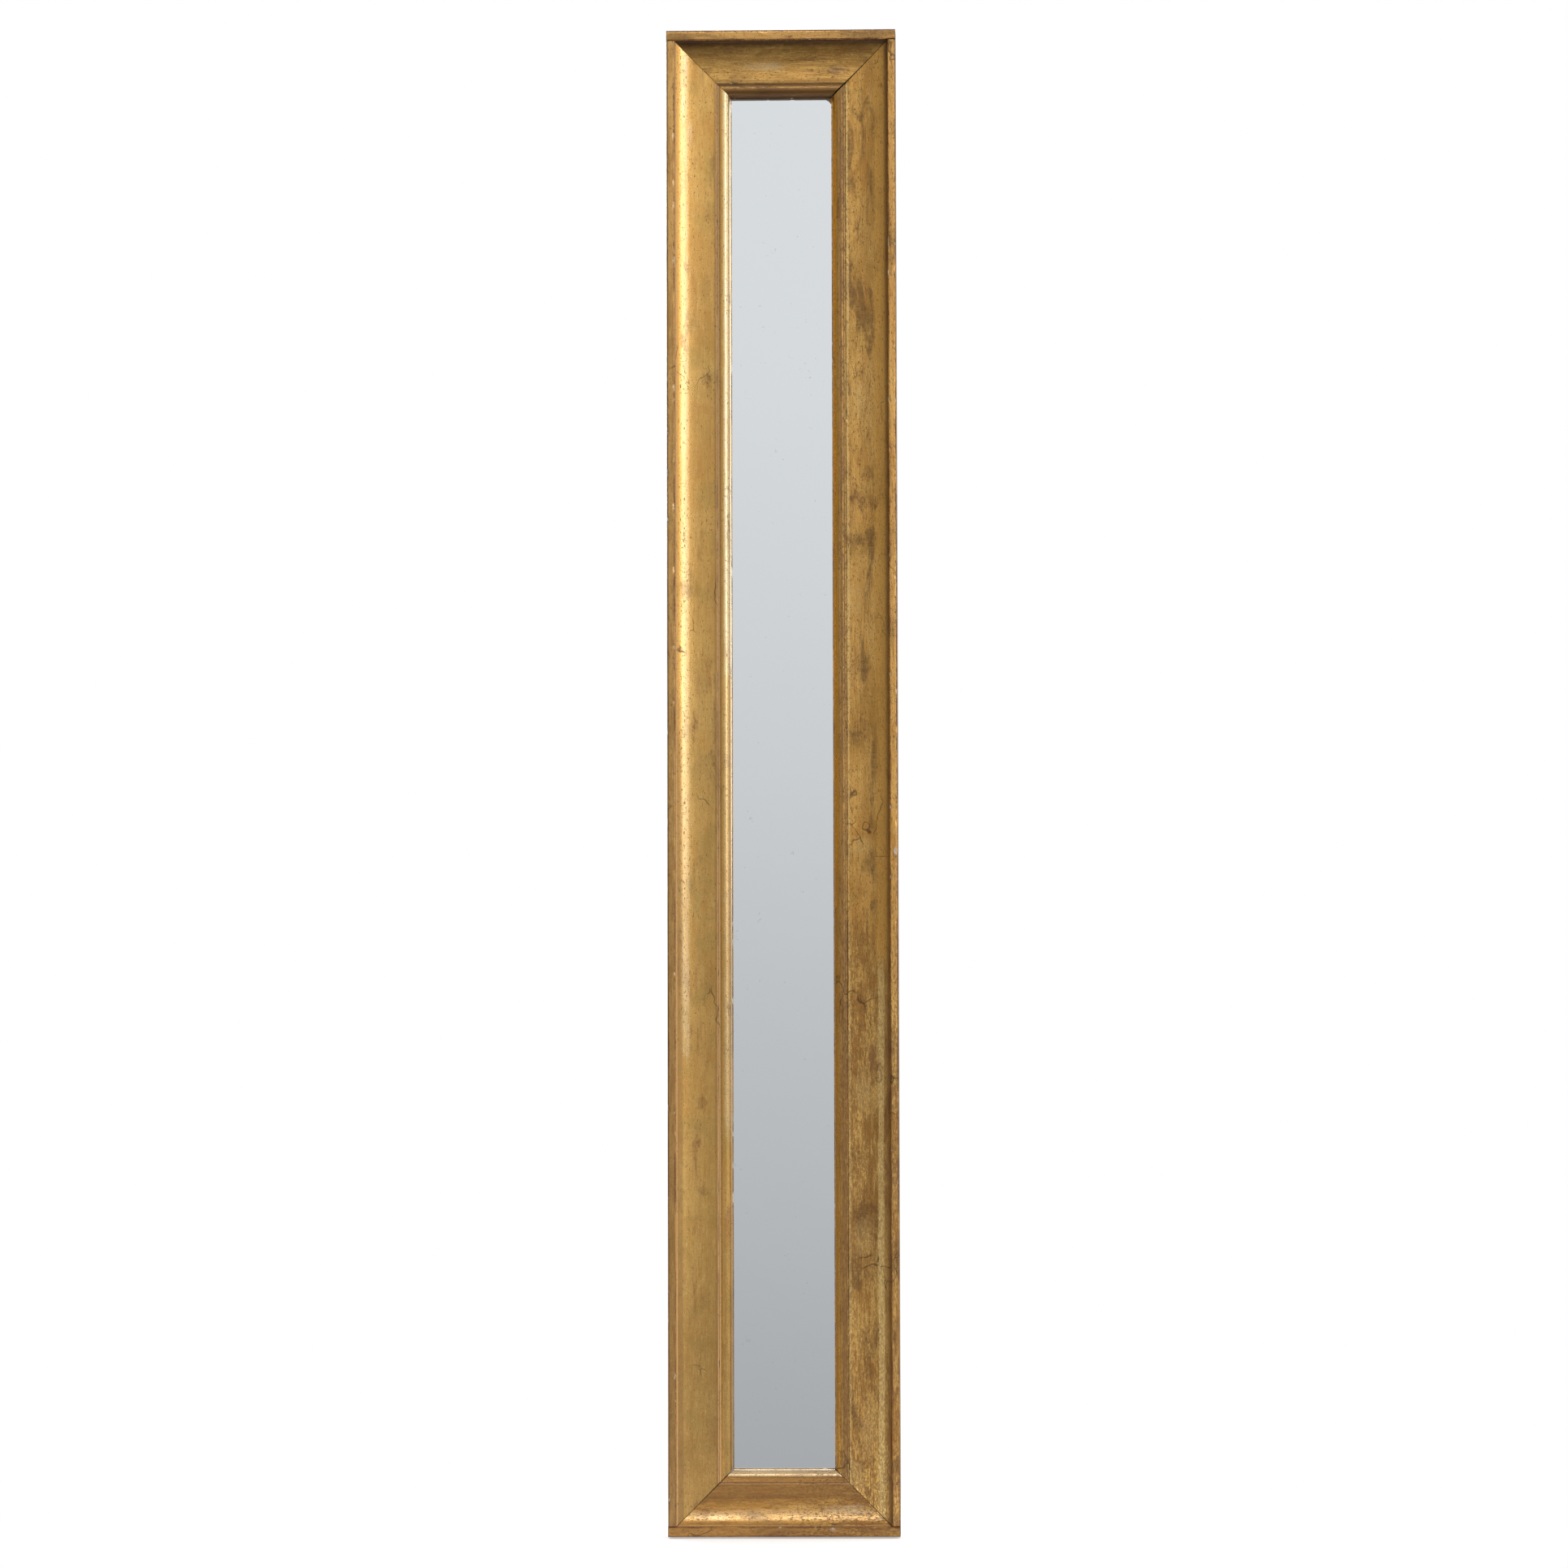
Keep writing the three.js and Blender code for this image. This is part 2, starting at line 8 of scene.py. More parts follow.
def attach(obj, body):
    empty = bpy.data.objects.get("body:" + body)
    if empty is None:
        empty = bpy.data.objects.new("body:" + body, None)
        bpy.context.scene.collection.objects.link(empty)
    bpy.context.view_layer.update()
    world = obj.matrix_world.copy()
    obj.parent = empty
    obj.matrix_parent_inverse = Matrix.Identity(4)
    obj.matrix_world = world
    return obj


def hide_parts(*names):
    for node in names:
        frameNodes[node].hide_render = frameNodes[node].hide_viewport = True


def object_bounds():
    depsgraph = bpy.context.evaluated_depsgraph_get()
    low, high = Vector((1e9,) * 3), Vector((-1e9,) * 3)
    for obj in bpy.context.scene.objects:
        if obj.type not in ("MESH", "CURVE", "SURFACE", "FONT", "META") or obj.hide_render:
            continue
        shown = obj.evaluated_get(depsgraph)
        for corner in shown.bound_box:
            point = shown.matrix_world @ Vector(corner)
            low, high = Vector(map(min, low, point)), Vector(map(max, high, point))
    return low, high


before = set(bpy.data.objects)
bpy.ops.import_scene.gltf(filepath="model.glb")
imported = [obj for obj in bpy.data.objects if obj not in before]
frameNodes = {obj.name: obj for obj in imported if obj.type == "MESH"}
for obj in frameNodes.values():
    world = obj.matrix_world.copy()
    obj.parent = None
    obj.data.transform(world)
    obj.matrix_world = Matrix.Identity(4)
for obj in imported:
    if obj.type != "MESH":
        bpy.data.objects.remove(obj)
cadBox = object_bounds()
mm = 0.001

# what the mouldings share, in millimetres, from the rear face and the outer edge of the back frame
sizes = {
    "halfWidth": 131.2, "halfHeight": 915.7, "railWidth": 69.3, "seatGap": 0.3, "overlap": 0.02,
    "coveWidth": 52, "coveFlat": 12, "coveTop": 43.5, "coveDrop": 11, "coveCurve": 1.75, "coveLead": 0.6,
    "coveRound": 0.7, "coveSteps": 39, "coveCrowding": 1.7, "coveSeat": (2.6, 2.2), "mouldingBack": 16.3,
    "sightWidth": 17, "quirkWidth": 1, "quirkDepth": 1.5, "beadWidth": 5, "beadRise": 3, "sightFillet": 0.8,
    "lipHeight": 5.7, "fullness": 2.4, "fill": 1.25, "sideStrip": 10.5, "endStrip": 13, "stripDepth": 46,
    "outerRound": 2.5, "stripInner": (1.7, 2.3), "tightMitre": 16, "openTopRight": 1.5, "openBottomLeft": 0.7,
}


class Value:
    # one output socket; arithmetic on it adds Math nodes
    def __init__(self, maker, socket):
        self.maker = maker
        self.socket = socket

    def __neg__(self):
        return self.maker.math("MULTIPLY", self, -1)


def addOperator(symbol, operation):
    def onLeft(self, other):
        return self.maker.math(operation, self, other)

    def onRight(self, other):
        return self.maker.math(operation, other, self)

    setattr(Value, f"__{symbol}__", onLeft)
    setattr(Value, f"__r{symbol}__", onRight)


for symbol, operation in (("add", "ADD"), ("sub", "SUBTRACT"), ("mul", "MULTIPLY"), ("truediv", "DIVIDE"),
                          ("pow", "POWER"), ("gt", "GREATER_THAN"), ("lt", "LESS_THAN")):
    addOperator(symbol, operation)


class Maker:
    # adds nodes to a shader or geometry tree
    def __init__(self, tree):
        self.tree = tree
        self.count = 0

    def node(self, kind, settings=None, sockets=None, output=0):
        made = self.tree.nodes.new(kind)
        made.location = (self.count % 12 * 190, self.count // 12 * -260)
        self.count += 1
        for name, value in (settings or {}).items():
            if name == "stops":
                self.setStops(made.color_ramp, value)
            else:
                setattr(made, name, value)
        for name, value in (sockets or {}).items():
            self.plug(made.inputs[name], value)
        return Value(self, made.outputs[output]) if len(made.outputs) else made

    def plug(self, socket, value):
        if isinstance(value, Value):
            self.tree.links.new(value.socket, socket)
        elif value is not None:
            socket.default_value = value

    def setStops(self, ramp, stops):
        while len(ramp.elements) > 1:
            ramp.elements.remove(ramp.elements[-1])
        for n, (place, colour) in enumerate(stops):
            element = ramp.elements[0] if n == 0 else ramp.elements.new(place)
            element.position = place
            element.color = (*colour, 1) if hasattr(colour, "__len__") else (colour, colour, colour, 1)

    def shade(self, kind, *rest):
        return self.node("ShaderNode" + kind, *rest)

    def geo(self, kind, *rest):
        return self.node("GeometryNode" + kind, *rest)

    def parts(self, vector):
        apart = self.shade("SeparateXYZ", {}, {0: vector}).socket.node
        return [Value(self, socket) for socket in apart.outputs]

    def join(self, *values):
        return self.shade("CombineXYZ", {}, dict(enumerate(values)))

    def rays(self):
        # whether a camera, glossy or transmitted ray is looking
        path = self.shade("LightPath").socket.node
        return [Value(self, path.outputs[f"Is {ray} Ray"]) for ray in ("Camera", "Glossy", "Transmission")]

    def ramp(self, stops, value):
        return self.shade("ValToRGB", {"stops": stops}, {0: value})

    def background(self, colour, strength):
        return self.shade("Background", {}, {0: colour, 1: strength})

    def mixShader(self, share, first, second):
        return self.shade("MixShader", {}, {0: share, 1: first, 2: second})

    def math(self, operation, *values, clamp=False):
        settings = {"operation": operation, "use_clamp": clamp}
        return self.shade("Math", settings, dict(enumerate(values)))

    def most(self, *values):
        highest = values[0]
        for value in values[1:]:
            highest = self.math("MAXIMUM", highest, value)
        return highest

    def vector(self, operation, *values):
        return self.shade("VectorMath", {"operation": operation}, dict(enumerate(values)))

    def smooth(self, value, low, high, toLow=0.0, toHigh=1.0):
        sockets = {0: value, 1: low, 2: high, 3: toLow, 4: toHigh}
        return self.shade("MapRange", {"interpolation_type": "SMOOTHSTEP"}, sockets)

    def band(self, value, centre, half, soft):
        # 1 within half of the centre, falling to 0 over soft
        away = self.math("ABSOLUTE", value - centre)
        return self.smooth(away, half, half + soft, 1.0, 0.0)

    def mixColour(self, factor, first, second, blend="MIX"):
        settings = {"data_type": "RGBA", "blend_type": blend}
        sockets = {0: factor, 6: self.colour(first), 7: self.colour(second)}
        return self.shade("Mix", settings, sockets, 2)

    def mixValue(self, factor, first, second):
        return self.shade("Mix", {"data_type": "FLOAT"}, {0: factor, 2: first, 3: second})

    def layers(self, colour, *coats):
        # lays paints over a colour, each by its own share
        for share, paint in coats:
            colour = self.mixColour(share, colour, paint)
        return colour

    def colour(self, value):
        return value if isinstance(value, Value) else (*value, 1)

    def noise(self, place, scale, detail=3.0, rough=0.55, distort=0.0, output=0):
        sockets = {"Vector": place, "Scale": scale, "Detail": detail, "Roughness": rough,
                   "Distortion": distort}
        return self.shade("TexNoise", {}, sockets, output)

    def cells(self, place, scale, feature="F1", output=0):
        sockets = {"Vector": place, "Scale": scale}
        return self.shade("TexVoronoi", {"feature": feature}, sockets, output)

    def stretch(self, place, scale):
        return self.vector("MULTIPLY", place, scale)


def newFinish(name):
    # a maker for a new material, and the object coordinates
    material = bpy.data.materials.new(name)
    material.use_nodes = True
    material.node_tree.nodes.clear()
    maker = Maker(material.node_tree)
    maker.material = material
    return maker, maker.shade("TexCoord", {}, {}, 3)


def closeFinish(maker, colour, metal, rough, height, bumpSize, strength=1.0, more=None):
    # joins the surface to the output, with a bump from a height
    bump = {"Strength": strength, "Distance": bumpSize, "Height": height}
    sockets = {"Base Color": colour, "Metallic": metal, "Roughness": rough, **(more or {}),
               "Normal": maker.shade("Bump", {}, bump)}
    shader = maker.shade("BsdfPrincipled", {}, sockets)
    maker.shade("OutputMaterial", {}, {"Surface": shader})
    return maker.material


def settle(piece, nodes, body="frame"):
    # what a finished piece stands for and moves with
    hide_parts(*nodes)
    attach(piece, body)
    return piece


# outlines, as lists of (inwards, forwards) in millimetres

def arc(centreU, centreV, radiusU, radiusV, start, end, steps):
    turns = [math.radians(start + (end - start) * i / steps) for i in range(steps + 1)]
    return [(centreU + radiusU * math.cos(t), centreV + radiusV * math.sin(t)) for t in turns]


def line(start, end, steps):
    return [tuple(a + (b - a) * i / steps for a, b in zip(start, end)) for i in range(1, steps)]


def fuller(points, centreU, centreV, s):
    # moves the points of a quarter round a little outwards from its chord, for a fuller shape
    made = []
    for u, v in points:
        wide = max(abs(p[0] - centreU) for p in points)
        high = max(abs(p[1] - centreV) for p in points)
        a, b = abs(u - centreU) / wide, abs(v - centreV) / high
        grow = (a ** s["fullness"] + b ** s["fullness"]) ** (-1 / s["fullness"])
        made.append((centreU + (u - centreU) * grow, centreV + (v - centreV) * grow))
    return made


def coveProfile():
    s = sizes
    width, power, count = s["coveWidth"] - s["coveFlat"], s["coveCurve"], s["coveSteps"]
    floor = s["coveTop"] - s["coveDrop"]
    end, turned = s["coveWidth"], s["coveRound"]
    start = s["overlap"] - s["seatGap"]  # ground and leaf bridge the joint with the strip
    hollow = []
    for i in range(count):
        u = start + (width - start) * (i / count) ** s["coveCrowding"]
        share = (width - u) / (width + s["coveLead"])
        hollow.append((u, s["coveTop"] - s["coveDrop"] * (1 - share ** power) ** (1 / power)))
    flat = line((width, floor), (end - turned, floor), 8)
    turn = arc(end - turned, floor - turned, turned, turned, 90, 0, 4)
    low, high = s["coveSeat"]
    back = [(end, s["mouldingBack"]), (0, s["mouldingBack"]), (0, s["coveTop"] - low)]
    back += [(start, s["coveTop"] - high)]
    hollows = [(start, s["coveTop"] - 1.5), (end + 0.2, floor - 0.4)]
    return hollow + flat + turn + back, [(end, floor)], hollows


def sightProfile():
    s = sizes
    start = s["coveWidth"] + s["seatGap"]
    end = start + s["sightWidth"]
    crest = start + s["quirkWidth"] + s["beadWidth"]
    quirk = s["coveTop"] - s["coveDrop"] - s["quirkDepth"]
    lip = s["mouldingBack"] + s["lipHeight"]
    rise = quirk + s["beadRise"] - lip
    bead = fuller(arc(crest, quirk, s["beadWidth"], s["beadRise"], 180, 90, 12), crest, quirk, s)
    fall = fuller(arc(crest, lip, end - s["sightFillet"] - crest, rise, 90, 0, 26), crest, lip, s)
    joint = start - s["seatGap"] + s["overlap"]  # filled up to the cove
    first = [(start, s["mouldingBack"]), (start, quirk - 1.2), (joint, quirk - 1.0)]
    first += [(joint, quirk + s["fill"]), (start + s["quirkWidth"] * 0.7, quirk + s["fill"])]
    bead = [(u, v) for u, v in bead if v > quirk + s["fill"] + 0.1]
    outline = first + bead + fall[1:] + [(end, lip), (end, s["mouldingBack"])]
    return outline, [(end, lip)], [(start + 0.3, quirk + s["fill"])]


def stripProfile(width):
    s = sizes
    depth, outer, (wide, deep) = s["stripDepth"], s["outerRound"], s["stripInner"]
    soft = arc(outer, depth - outer, outer, outer, 180, 90, 7)
    front = line((outer, depth), (width - wide, depth), 5)
    turn = arc(width - wide, depth - deep, wide, deep, 90, 0, 8)
    side = line((0, 0), (0, depth - outer), 9)
    outline = [(0, 0)] + side + soft + front + turn + [(width, 0)]
    return outline, [(outer * 0.3, depth - outer * 0.3), (width - 0.8, depth)], [(width, depth - deep)]


def outlineMesh(name, outline, corners, hollows, spread=2.6):
    # the outline as a loop of edges, with how near each point is to a corner that wears
    # or to a hollow, where a paler matte fill is painted as light
    mesh = bpy.data.meshes.new(name)
    count = len(outline)
    edges = [(i, (i + 1) % count) for i in range(count)]
    mesh.from_pydata([(u * mm, v * mm, 0) for u, v in outline], edges, [])
    for label, spots in (("arris", corners), ("recess", hollows)):
        near = mesh.attributes.new(label, "FLOAT", "POINT")
        for data, (u, v) in zip(near.data, outline):
            data.value = max(0.0, 1 - min(math.hypot(u - a, v - b) for a, b in spots) / spread)
    return mesh


# geometry trees and meshes

def groupTree(name, inputs):
    tree = bpy.data.node_groups.new(name, "GeometryNodeTree")
    tree.interface.new_socket(name="Geometry", in_out="OUTPUT", socket_type="NodeSocketGeometry")
    tree.interface.new_socket(name="Geometry", in_out="INPUT", socket_type="NodeSocketGeometry")
    for label, kind in inputs.items():
        tree.interface.new_socket(name=label, in_out="INPUT", socket_type=kind)
    maker = Maker(tree)
    first = maker.node("NodeGroupInput").socket.node
    given = {socket.name: Value(maker, socket) for socket in first.outputs if socket.name}
    return maker, given


def closeTree(maker, given, geometry):
    geometry = maker.geo("RealizeInstances", {}, {0: geometry})
    geometry = maker.geo("SetMaterial", {}, {"Geometry": geometry, "Material": given["Finish"]})
    out = maker.tree.nodes.new("NodeGroupOutput")
    maker.plug(out.inputs[0], geometry)
    return maker.tree


def addObject(name, data):
    made = bpy.data.objects.new(name, data)
    bpy.context.scene.collection.objects.link(made)
    return made


def evaluated(piece):
    # the mesh that an object's modifiers make
    view = bpy.context.evaluated_depsgraph_get()
    return bpy.data.meshes.new_from_object(piece.evaluated_get(view), depsgraph=view)


def meshFrom(work, name):
    mesh = bpy.data.meshes.new(name)
    work.to_mesh(mesh)
    work.free()
    return mesh


def bridge(work, rings):
    # faces between rings of points; a ring of one point closes an end
    made = []
    for first, second in zip(rings, rings[1:]):
        count = max(len(first), len(second))
        for i in range(count):
            j = (i + 1) % count
            corners = [first[i % len(first)], first[j % len(first)]]
            corners += [second[j % len(second)], second[i % len(second)]]
            made.append(work.faces.new(list(dict.fromkeys(corners))))
    return made


def growPiece(name, mesh, tree, values, sharp=38):
    # runs a tree on a mesh and keeps the result as a plain mesh
    seed = addObject(name + "Seed", mesh)
    modifier = seed.modifiers.new("grow", "NODES")
    modifier.node_group = tree
    for item in tree.interface.items_tree:
        if item.in_out == "INPUT" and item.name in values:
            modifier[item.identifier] = values[item.name]
    grown = evaluated(seed)
    bpy.data.objects.remove(seed)
    return finishMesh(name, grown, sharp)


def finishMesh(name, mesh, sharp=38):
    # faces point outwards, curved faces are smooth and corners stay crisp
    work = bmesh.new()
    work.from_mesh(mesh)
    if work.calc_volume(signed=True) < 0:
        bmesh.ops.reverse_faces(work, faces=work.faces)
    work.to_mesh(mesh)
    work.free()
    mesh.name = name
    mesh.shade_smooth()
    mesh.set_sharp_from_angle(angle=math.radians(sharp))
    return addObject(name, mesh)


def weighNormals(piece):
    # large flat faces keep their own normal beside a narrow eased corner
    weigh = piece.modifiers.new("weigh", "WEIGHTED_NORMAL")
    weigh.keep_sharp = True
    weigh.weight = 80
    mesh = evaluated(piece)
    piece.modifiers.clear()
    mesh.name = piece.name
    piece.data = mesh
    return piece


def easedCopy(name, node, finish, ease, sharp=30):
    # a copy of a solid from the frame with its corners eased
    work = bmesh.new()
    work.from_mesh(frameNodes[node].data)
    bmesh.ops.remove_doubles(work, verts=work.verts, dist=1e-6)
    bmesh.ops.dissolve_limit(work, angle_limit=math.radians(0.5), verts=work.verts, edges=work.edges)
    corners = [e for e in work.edges if len(e.link_faces) == 2 and e.calc_face_angle() > math.radians(sharp)]
    bmesh.ops.bevel(work, geom=corners, offset=ease * mm, segments=2, profile=0.5, affect="EDGES",
                    clamp_overlap=True)
    bmesh.ops.triangulate(work, faces=[f for f in work.faces if len(f.verts) > 4])
    mesh = meshFrom(work, name)
    mesh.materials.clear()
    mesh.materials.append(finish)
    return weighNormals(finishMesh(name, mesh))


def turnedMesh(name, outline, segments):
    # a closed solid turned about the Y axis, from (radius, y) in millimetres, ending on the axis
    work = bmesh.new()
    rings = []
    for radius, y in outline:
        if radius == 0:
            rings.append([work.verts.new((0, y * mm, 0))])
            continue
        turns = [2 * math.pi * i / segments for i in range(segments)]
        spots = [(radius * mm * math.cos(t), y * mm, radius * mm * math.sin(t)) for t in turns]
        rings.append([work.verts.new(spot) for spot in spots])
    bridge(work, rings)
    bmesh.ops.recalc_face_normals(work, faces=work.faces)
    return meshFrom(work, name)


# gilding

gildingLook = {
    # linear colours
    "gold": (0.63, 0.340, 0.078), "paleGold": (0.80, 0.520, 0.165), "oliveGold": (0.52, 0.345, 0.088),
    "redGold": (0.46, 0.200, 0.045), "bole": (0.170, 0.058, 0.022), "patina": (0.145, 0.060, 0.014),
    "darkDirtAndShade": (0.040, 0.017, 0.005), "smoke": (0.165, 0.085, 0.028), "gesso": (0.80, 0.74, 0.62),
    # the matte colour is painted light, laid into the hollows
    "ochre": (0.33, 0.20, 0.075), "matteHollowLight": (0.76, 0.44, 0.17), "glint": (0.90, 0.70, 0.32),
    "umber": (0.37, 0.185, 0.050), "oldClay": (0.19, 0.105, 0.04), "claySoil": (0.07, 0.038, 0.018),
    "pinRust": (0.07, 0.03, 0.015), "rough": 0.25, "bump": 0.00012, "coatRough": 0.26, "coatIor": 1.6,
    # where the leaf stops on the strips, and how the panel pins are set, in millimetres
    "leafEnd": (39.5, 42.5), "pinPitch": 227, "pinDepth": 22,
    # what lies in bands along the mouldings, with how metallic it stays
    # pale, orange and honey bands mostly paint highlights and light; dull and brown partly paint shade
    "pale": ((0.90, 0.70, 0.42), 0.92), "amber": ((0.78, 0.405, 0.085), 0.80),
    "dull": ((0.27, 0.140, 0.042), 0.30), "brown": ((0.23, 0.105, 0.030), 0.35),
    "dark": ((0.075, 0.036, 0.012), 0.10), "straw": ((1.0, 0.70, 0.27), 0.70),
    "honey": ((1.0, 0.46, 0.030), 1.0), "chalk": ((0.80, 0.74, 0.62), 0.0),
}


def gilding(name, across, seed, wear, dirt, zones, marks, isStrip):
    # across: which object axis runs over the rail, X or Z; wear: strengths for this piece,
    # with its painted light and shade
    look = gildingLook
    m, bare = newFinish(name)
    place = m.vector("ADD", bare, (seed * 0.37, seed * 0.11, seed * 0.23))
    x, _, z = m.parts(bare)

    def stored(label, scale=1000):
        return m.shade("Attribute", {"attribute_name": label}, {}, 2) * scale

    inwards, forwards, mitre = stored("inwards"), stored("forwards"), stored("fromMitre")
    arris, recess, chip = stored("arris", 1), stored("recess", 1), stored("chip", 1)
    upright = across == "X"
    run = z if upright else x

    def grain(acrossScale, alongScale):
        return m.stretch(place, (acrossScale, acrossScale, alongScale) if upright
                         else (alongScale, acrossScale, acrossScale))

    clouds = m.noise(place, 9, 3, 0.6, 0.3)
    patches = m.noise(grain(42, 12), 1, 5, 0.66, 0.5)
    mottle = m.noise(place, 190, 4, 0.68, 0.3)
    bands = m.noise(grain(230, 8), 1, 3, 0.62, 0.3)
    streaks = m.noise(grain(900, 70), 1, 4, 0.64)
    scratch = m.noise(grain(1700, 34), 1, 2, 0.55)
    crosswise = m.noise(grain(120, 1100), 1, 3, 0.6)
    pits = m.noise(grain(760, 240), 1, 3, 0.60, 0.35)

    # leaf on the lower right is rubbed thin, down to fragments over brown
    corner = m.smooth(z + (patches - 0.5) * 0.4, -0.10, -0.30) * m.smooth(x, 0.055, 0.078)
    corner = m.most(corner, m.smooth(z, -0.80, -0.86) * m.smooth(x, -0.02, 0.06))
    fragment = m.noise(grain(560, 42), 1, 5, 0.74, 0.2) * 0.55 + patches * 0.75
    fragment = m.smooth(fragment + m.smooth(inwards, 28, 4) * 0.05, 0.58, 0.74)
    thin = corner * m.smooth(patches + clouds * 0.4, 0.40, 0.66)

    # colour of the leaf itself
    leaf = m.math("FLOOR", run * 12.2 + (patches - 0.5) * 0.06 + mottle * 0.03 + seed * 0.31)
    lap = m.shade("TexWhiteNoise", {"noise_dimensions": "1D"}, {"W": leaf})
    lap = (lap - 0.5) * wear["laps"]
    tone = clouds * 0.35 + patches * 0.30 + mottle * 0.09 + streaks * 0.26 + bands * 0.26 + lap * 0.12
    tone = m.smooth(tone, 0.50, 0.76)
    olive = m.smooth(m.noise(place, 23, 3, 0.6, 0.4) + thin * 0.1 - lap * 0.16, 0.49, 0.66)
    red = m.smooth(patches * 0.7 + bands * 0.35 + wear["red"] * 0.1, 0.53, 0.70)
    broken = m.mixColour(fragment, look["umber"], look["paleGold"])
    colour = m.layers(look["gold"], (tone, look["paleGold"]), (olive * 0.5, look["oliveGold"]),
                      (red * 0.75, look["redGold"]), (m.most(corner * 0.85, wear["broken"]), broken))
    # painted light and shade: the leaf is made brighter or darker along the rail by how light falls there;
    # a ramp holds values up to 1, so it is stored as a share of its highest value
    highest = 1.4
    stops = [((spot + 1) / 2, lightAndShade / highest) for spot, lightAndShade in wear["lightAndShade"]]
    lightAndShade = m.stretch(m.ramp(stops, run * 0.5 + 0.5), [highest * c for c in wear["sideShadeAndTint"]])
    colour = m.mixColour(1.0, colour, lightAndShade, "MULTIPLY")

    # soft smoky patches and fine lines along the rail
    smoke = m.smooth(m.noise(grain(34, 11), 1, 4, 0.62, 0.8) + wear["smoke"] * 0.1, 0.60, 0.72)
    smoke = smoke * m.smooth(mottle * 0.5 + crosswise * 0.5, 0.34, 0.60, 0.45, 1.0)
    lines = m.smooth(bands * 0.30 + streaks * 0.45 + scratch * 0.30 + wear["lines"] * 0.1, 0.585, 0.73)
    glint = m.smooth(streaks * 0.6 + scratch * 0.25 + mottle * 0.3, 0.645, 0.76) * (1 - lines)
    colour = m.layers(colour, (smoke * wear["dull"], look["smoke"]), (lines * wear["line"], look["patina"]),
                      (glint * wear["glint"], look["glint"]))
    keep = 1.0

    def coated(share, paint):
        return m.mixColour(share, colour, look[paint][0]), (1 - share * (1 - look[paint][1])) * keep

    for spot, half, soft, ragged, paint, amount, *ends in zones:
        low, high = ends or (-1, 1)
        spread = inwards + (bands - 0.5) * ragged * 2 + (mottle - 0.5) * ragged
        reach = m.band(run + (patches - 0.5) * 0.3, (low + high) / 2, (high - low) / 2, 0.1)
        share = m.band(spread, spot, half, soft) * reach
        share = share * m.smooth(streaks * 0.6 + patches * 0.6, 0.45, 0.70, 0.55, 1.0) * amount
        colour, keep = coated(share, paint)
    brokenUp = m.smooth(streaks * 0.6 + pits * 0.4 + (mottle - 0.5) * 0.4, 0.42, 0.60, 0.35, 1.15)
    for markX, markZ, wide, tall, paint, amount in marks:
        far = m.math("SQRT", ((x * 1000 - markX) / wide) ** 2 + ((z * 1000 - markZ) / tall) ** 2)
        share = m.smooth(far + (mottle - 0.5) * 2.2 + (patches - 0.5) * 1.8, 0.50, 1.20, 1.0, 0.0)
        colour, keep = coated(share * brokenUp * amount, paint)
    # painted light: a paler matte fill with less metal in the hollows, where shade would fall
    matteHollowLight = m.smooth(recess + (mottle - 0.5) * 0.3, 0.06, 0.45) * wear["matteHollowLight"]
    colour = m.mixColour(matteHollowLight, colour, look["matteHollowLight"])

    # brown flecks where the leaf has gone, long in the run of the rail
    density = clouds * 0.10 + patches * 0.14 + thin * 0.09
    fleck = m.smooth(pits + density + wear["flecks"] * 0.1, 0.70, 0.80)
    fleck = m.most(fleck, m.smooth(crosswise + mottle * 0.2 + density, 0.86, 0.93) * 0.7)
    rub = m.smooth(patches + mottle * 0.30 + (clouds - 0.5) * 0.35 + wear["rub"] * 0.1, 0.80, 0.92)

    # arrises rub through to the red clay, and where they are chipped to the white ground
    edge = m.smooth(arris + (mottle - 0.5) * 0.9 + (bands - 0.5) * 1.1, 0.42, 0.80)
    worn = m.most(rub * 0.6, edge * m.smooth(patches + streaks * 0.5, 0.62, 0.84) * wear["arris"])
    chalk = m.smooth(chip, 0.35, 0.75) * m.smooth(patches + mottle * 0.3, 0.52, 0.70)
    chalk = m.most(chalk, edge * m.smooth(pits + mottle * 0.4, 0.88, 0.95) * 0.8)

    # a hairline at each joint, and a few long cracks in the ground
    joint = m.smooth(mitre + (mottle - 0.5) * 0.5, 0.15, 0.9, 1.0, 0.0) * wear["joint"]
    bent = m.vector("MULTIPLY", m.noise(place, 30, 2, 0.5, 0, 1), (0.9, 0.9, 0.9))
    cellPlace = m.vector("ADD", grain(30, 9), bent)
    crack = m.smooth(m.cells(cellPlace, 1, "DISTANCE_TO_EDGE"), 0.0, 0.022, 1.0, 0.0)
    crack = crack * m.smooth(m.noise(place, 13, 2, 0.5), 0.60, 0.67) * 0.75

    # random dirt, with painted shade under the top and right rims and on the fall of the top bead,
    # and darkening in the small step beside the bead
    grimeAndShade = m.smooth(clouds * 0.5 + patches * 0.5, 0.52, 0.70) * 0.30
    for spot, half, soft, strength in dirt:
        fall = m.band(inwards + (mottle - 0.5) * soft * 0.5, spot, half, soft)
        grimeAndShade = m.math("MAXIMUM", grimeAndShade, fall * (patches * 0.8 + 0.5) * strength, clamp=True)

    colour = m.layers(colour, (m.most(fleck * 0.6, grimeAndShade), look["patina"]), (grimeAndShade * grimeAndShade, look["darkDirtAndShade"]),
                      (worn, look["bole"]), (m.most(crack, joint), look["darkDirtAndShade"]), (chalk, look["gesso"]))
    lost = m.most(worn, fleck * 0.8, chalk, grimeAndShade * 0.85, lines * 0.35, smoke * 0.4)
    lost = m.math("MAXIMUM", lost, crack, clamp=True)
    metal = (1 - lost) * (1 - matteHollowLight * 0.9) * keep * wear["metal"]
    rough = mottle * 0.16 + streaks * 0.12 + lost * 0.22 + look["rough"] - 0.14

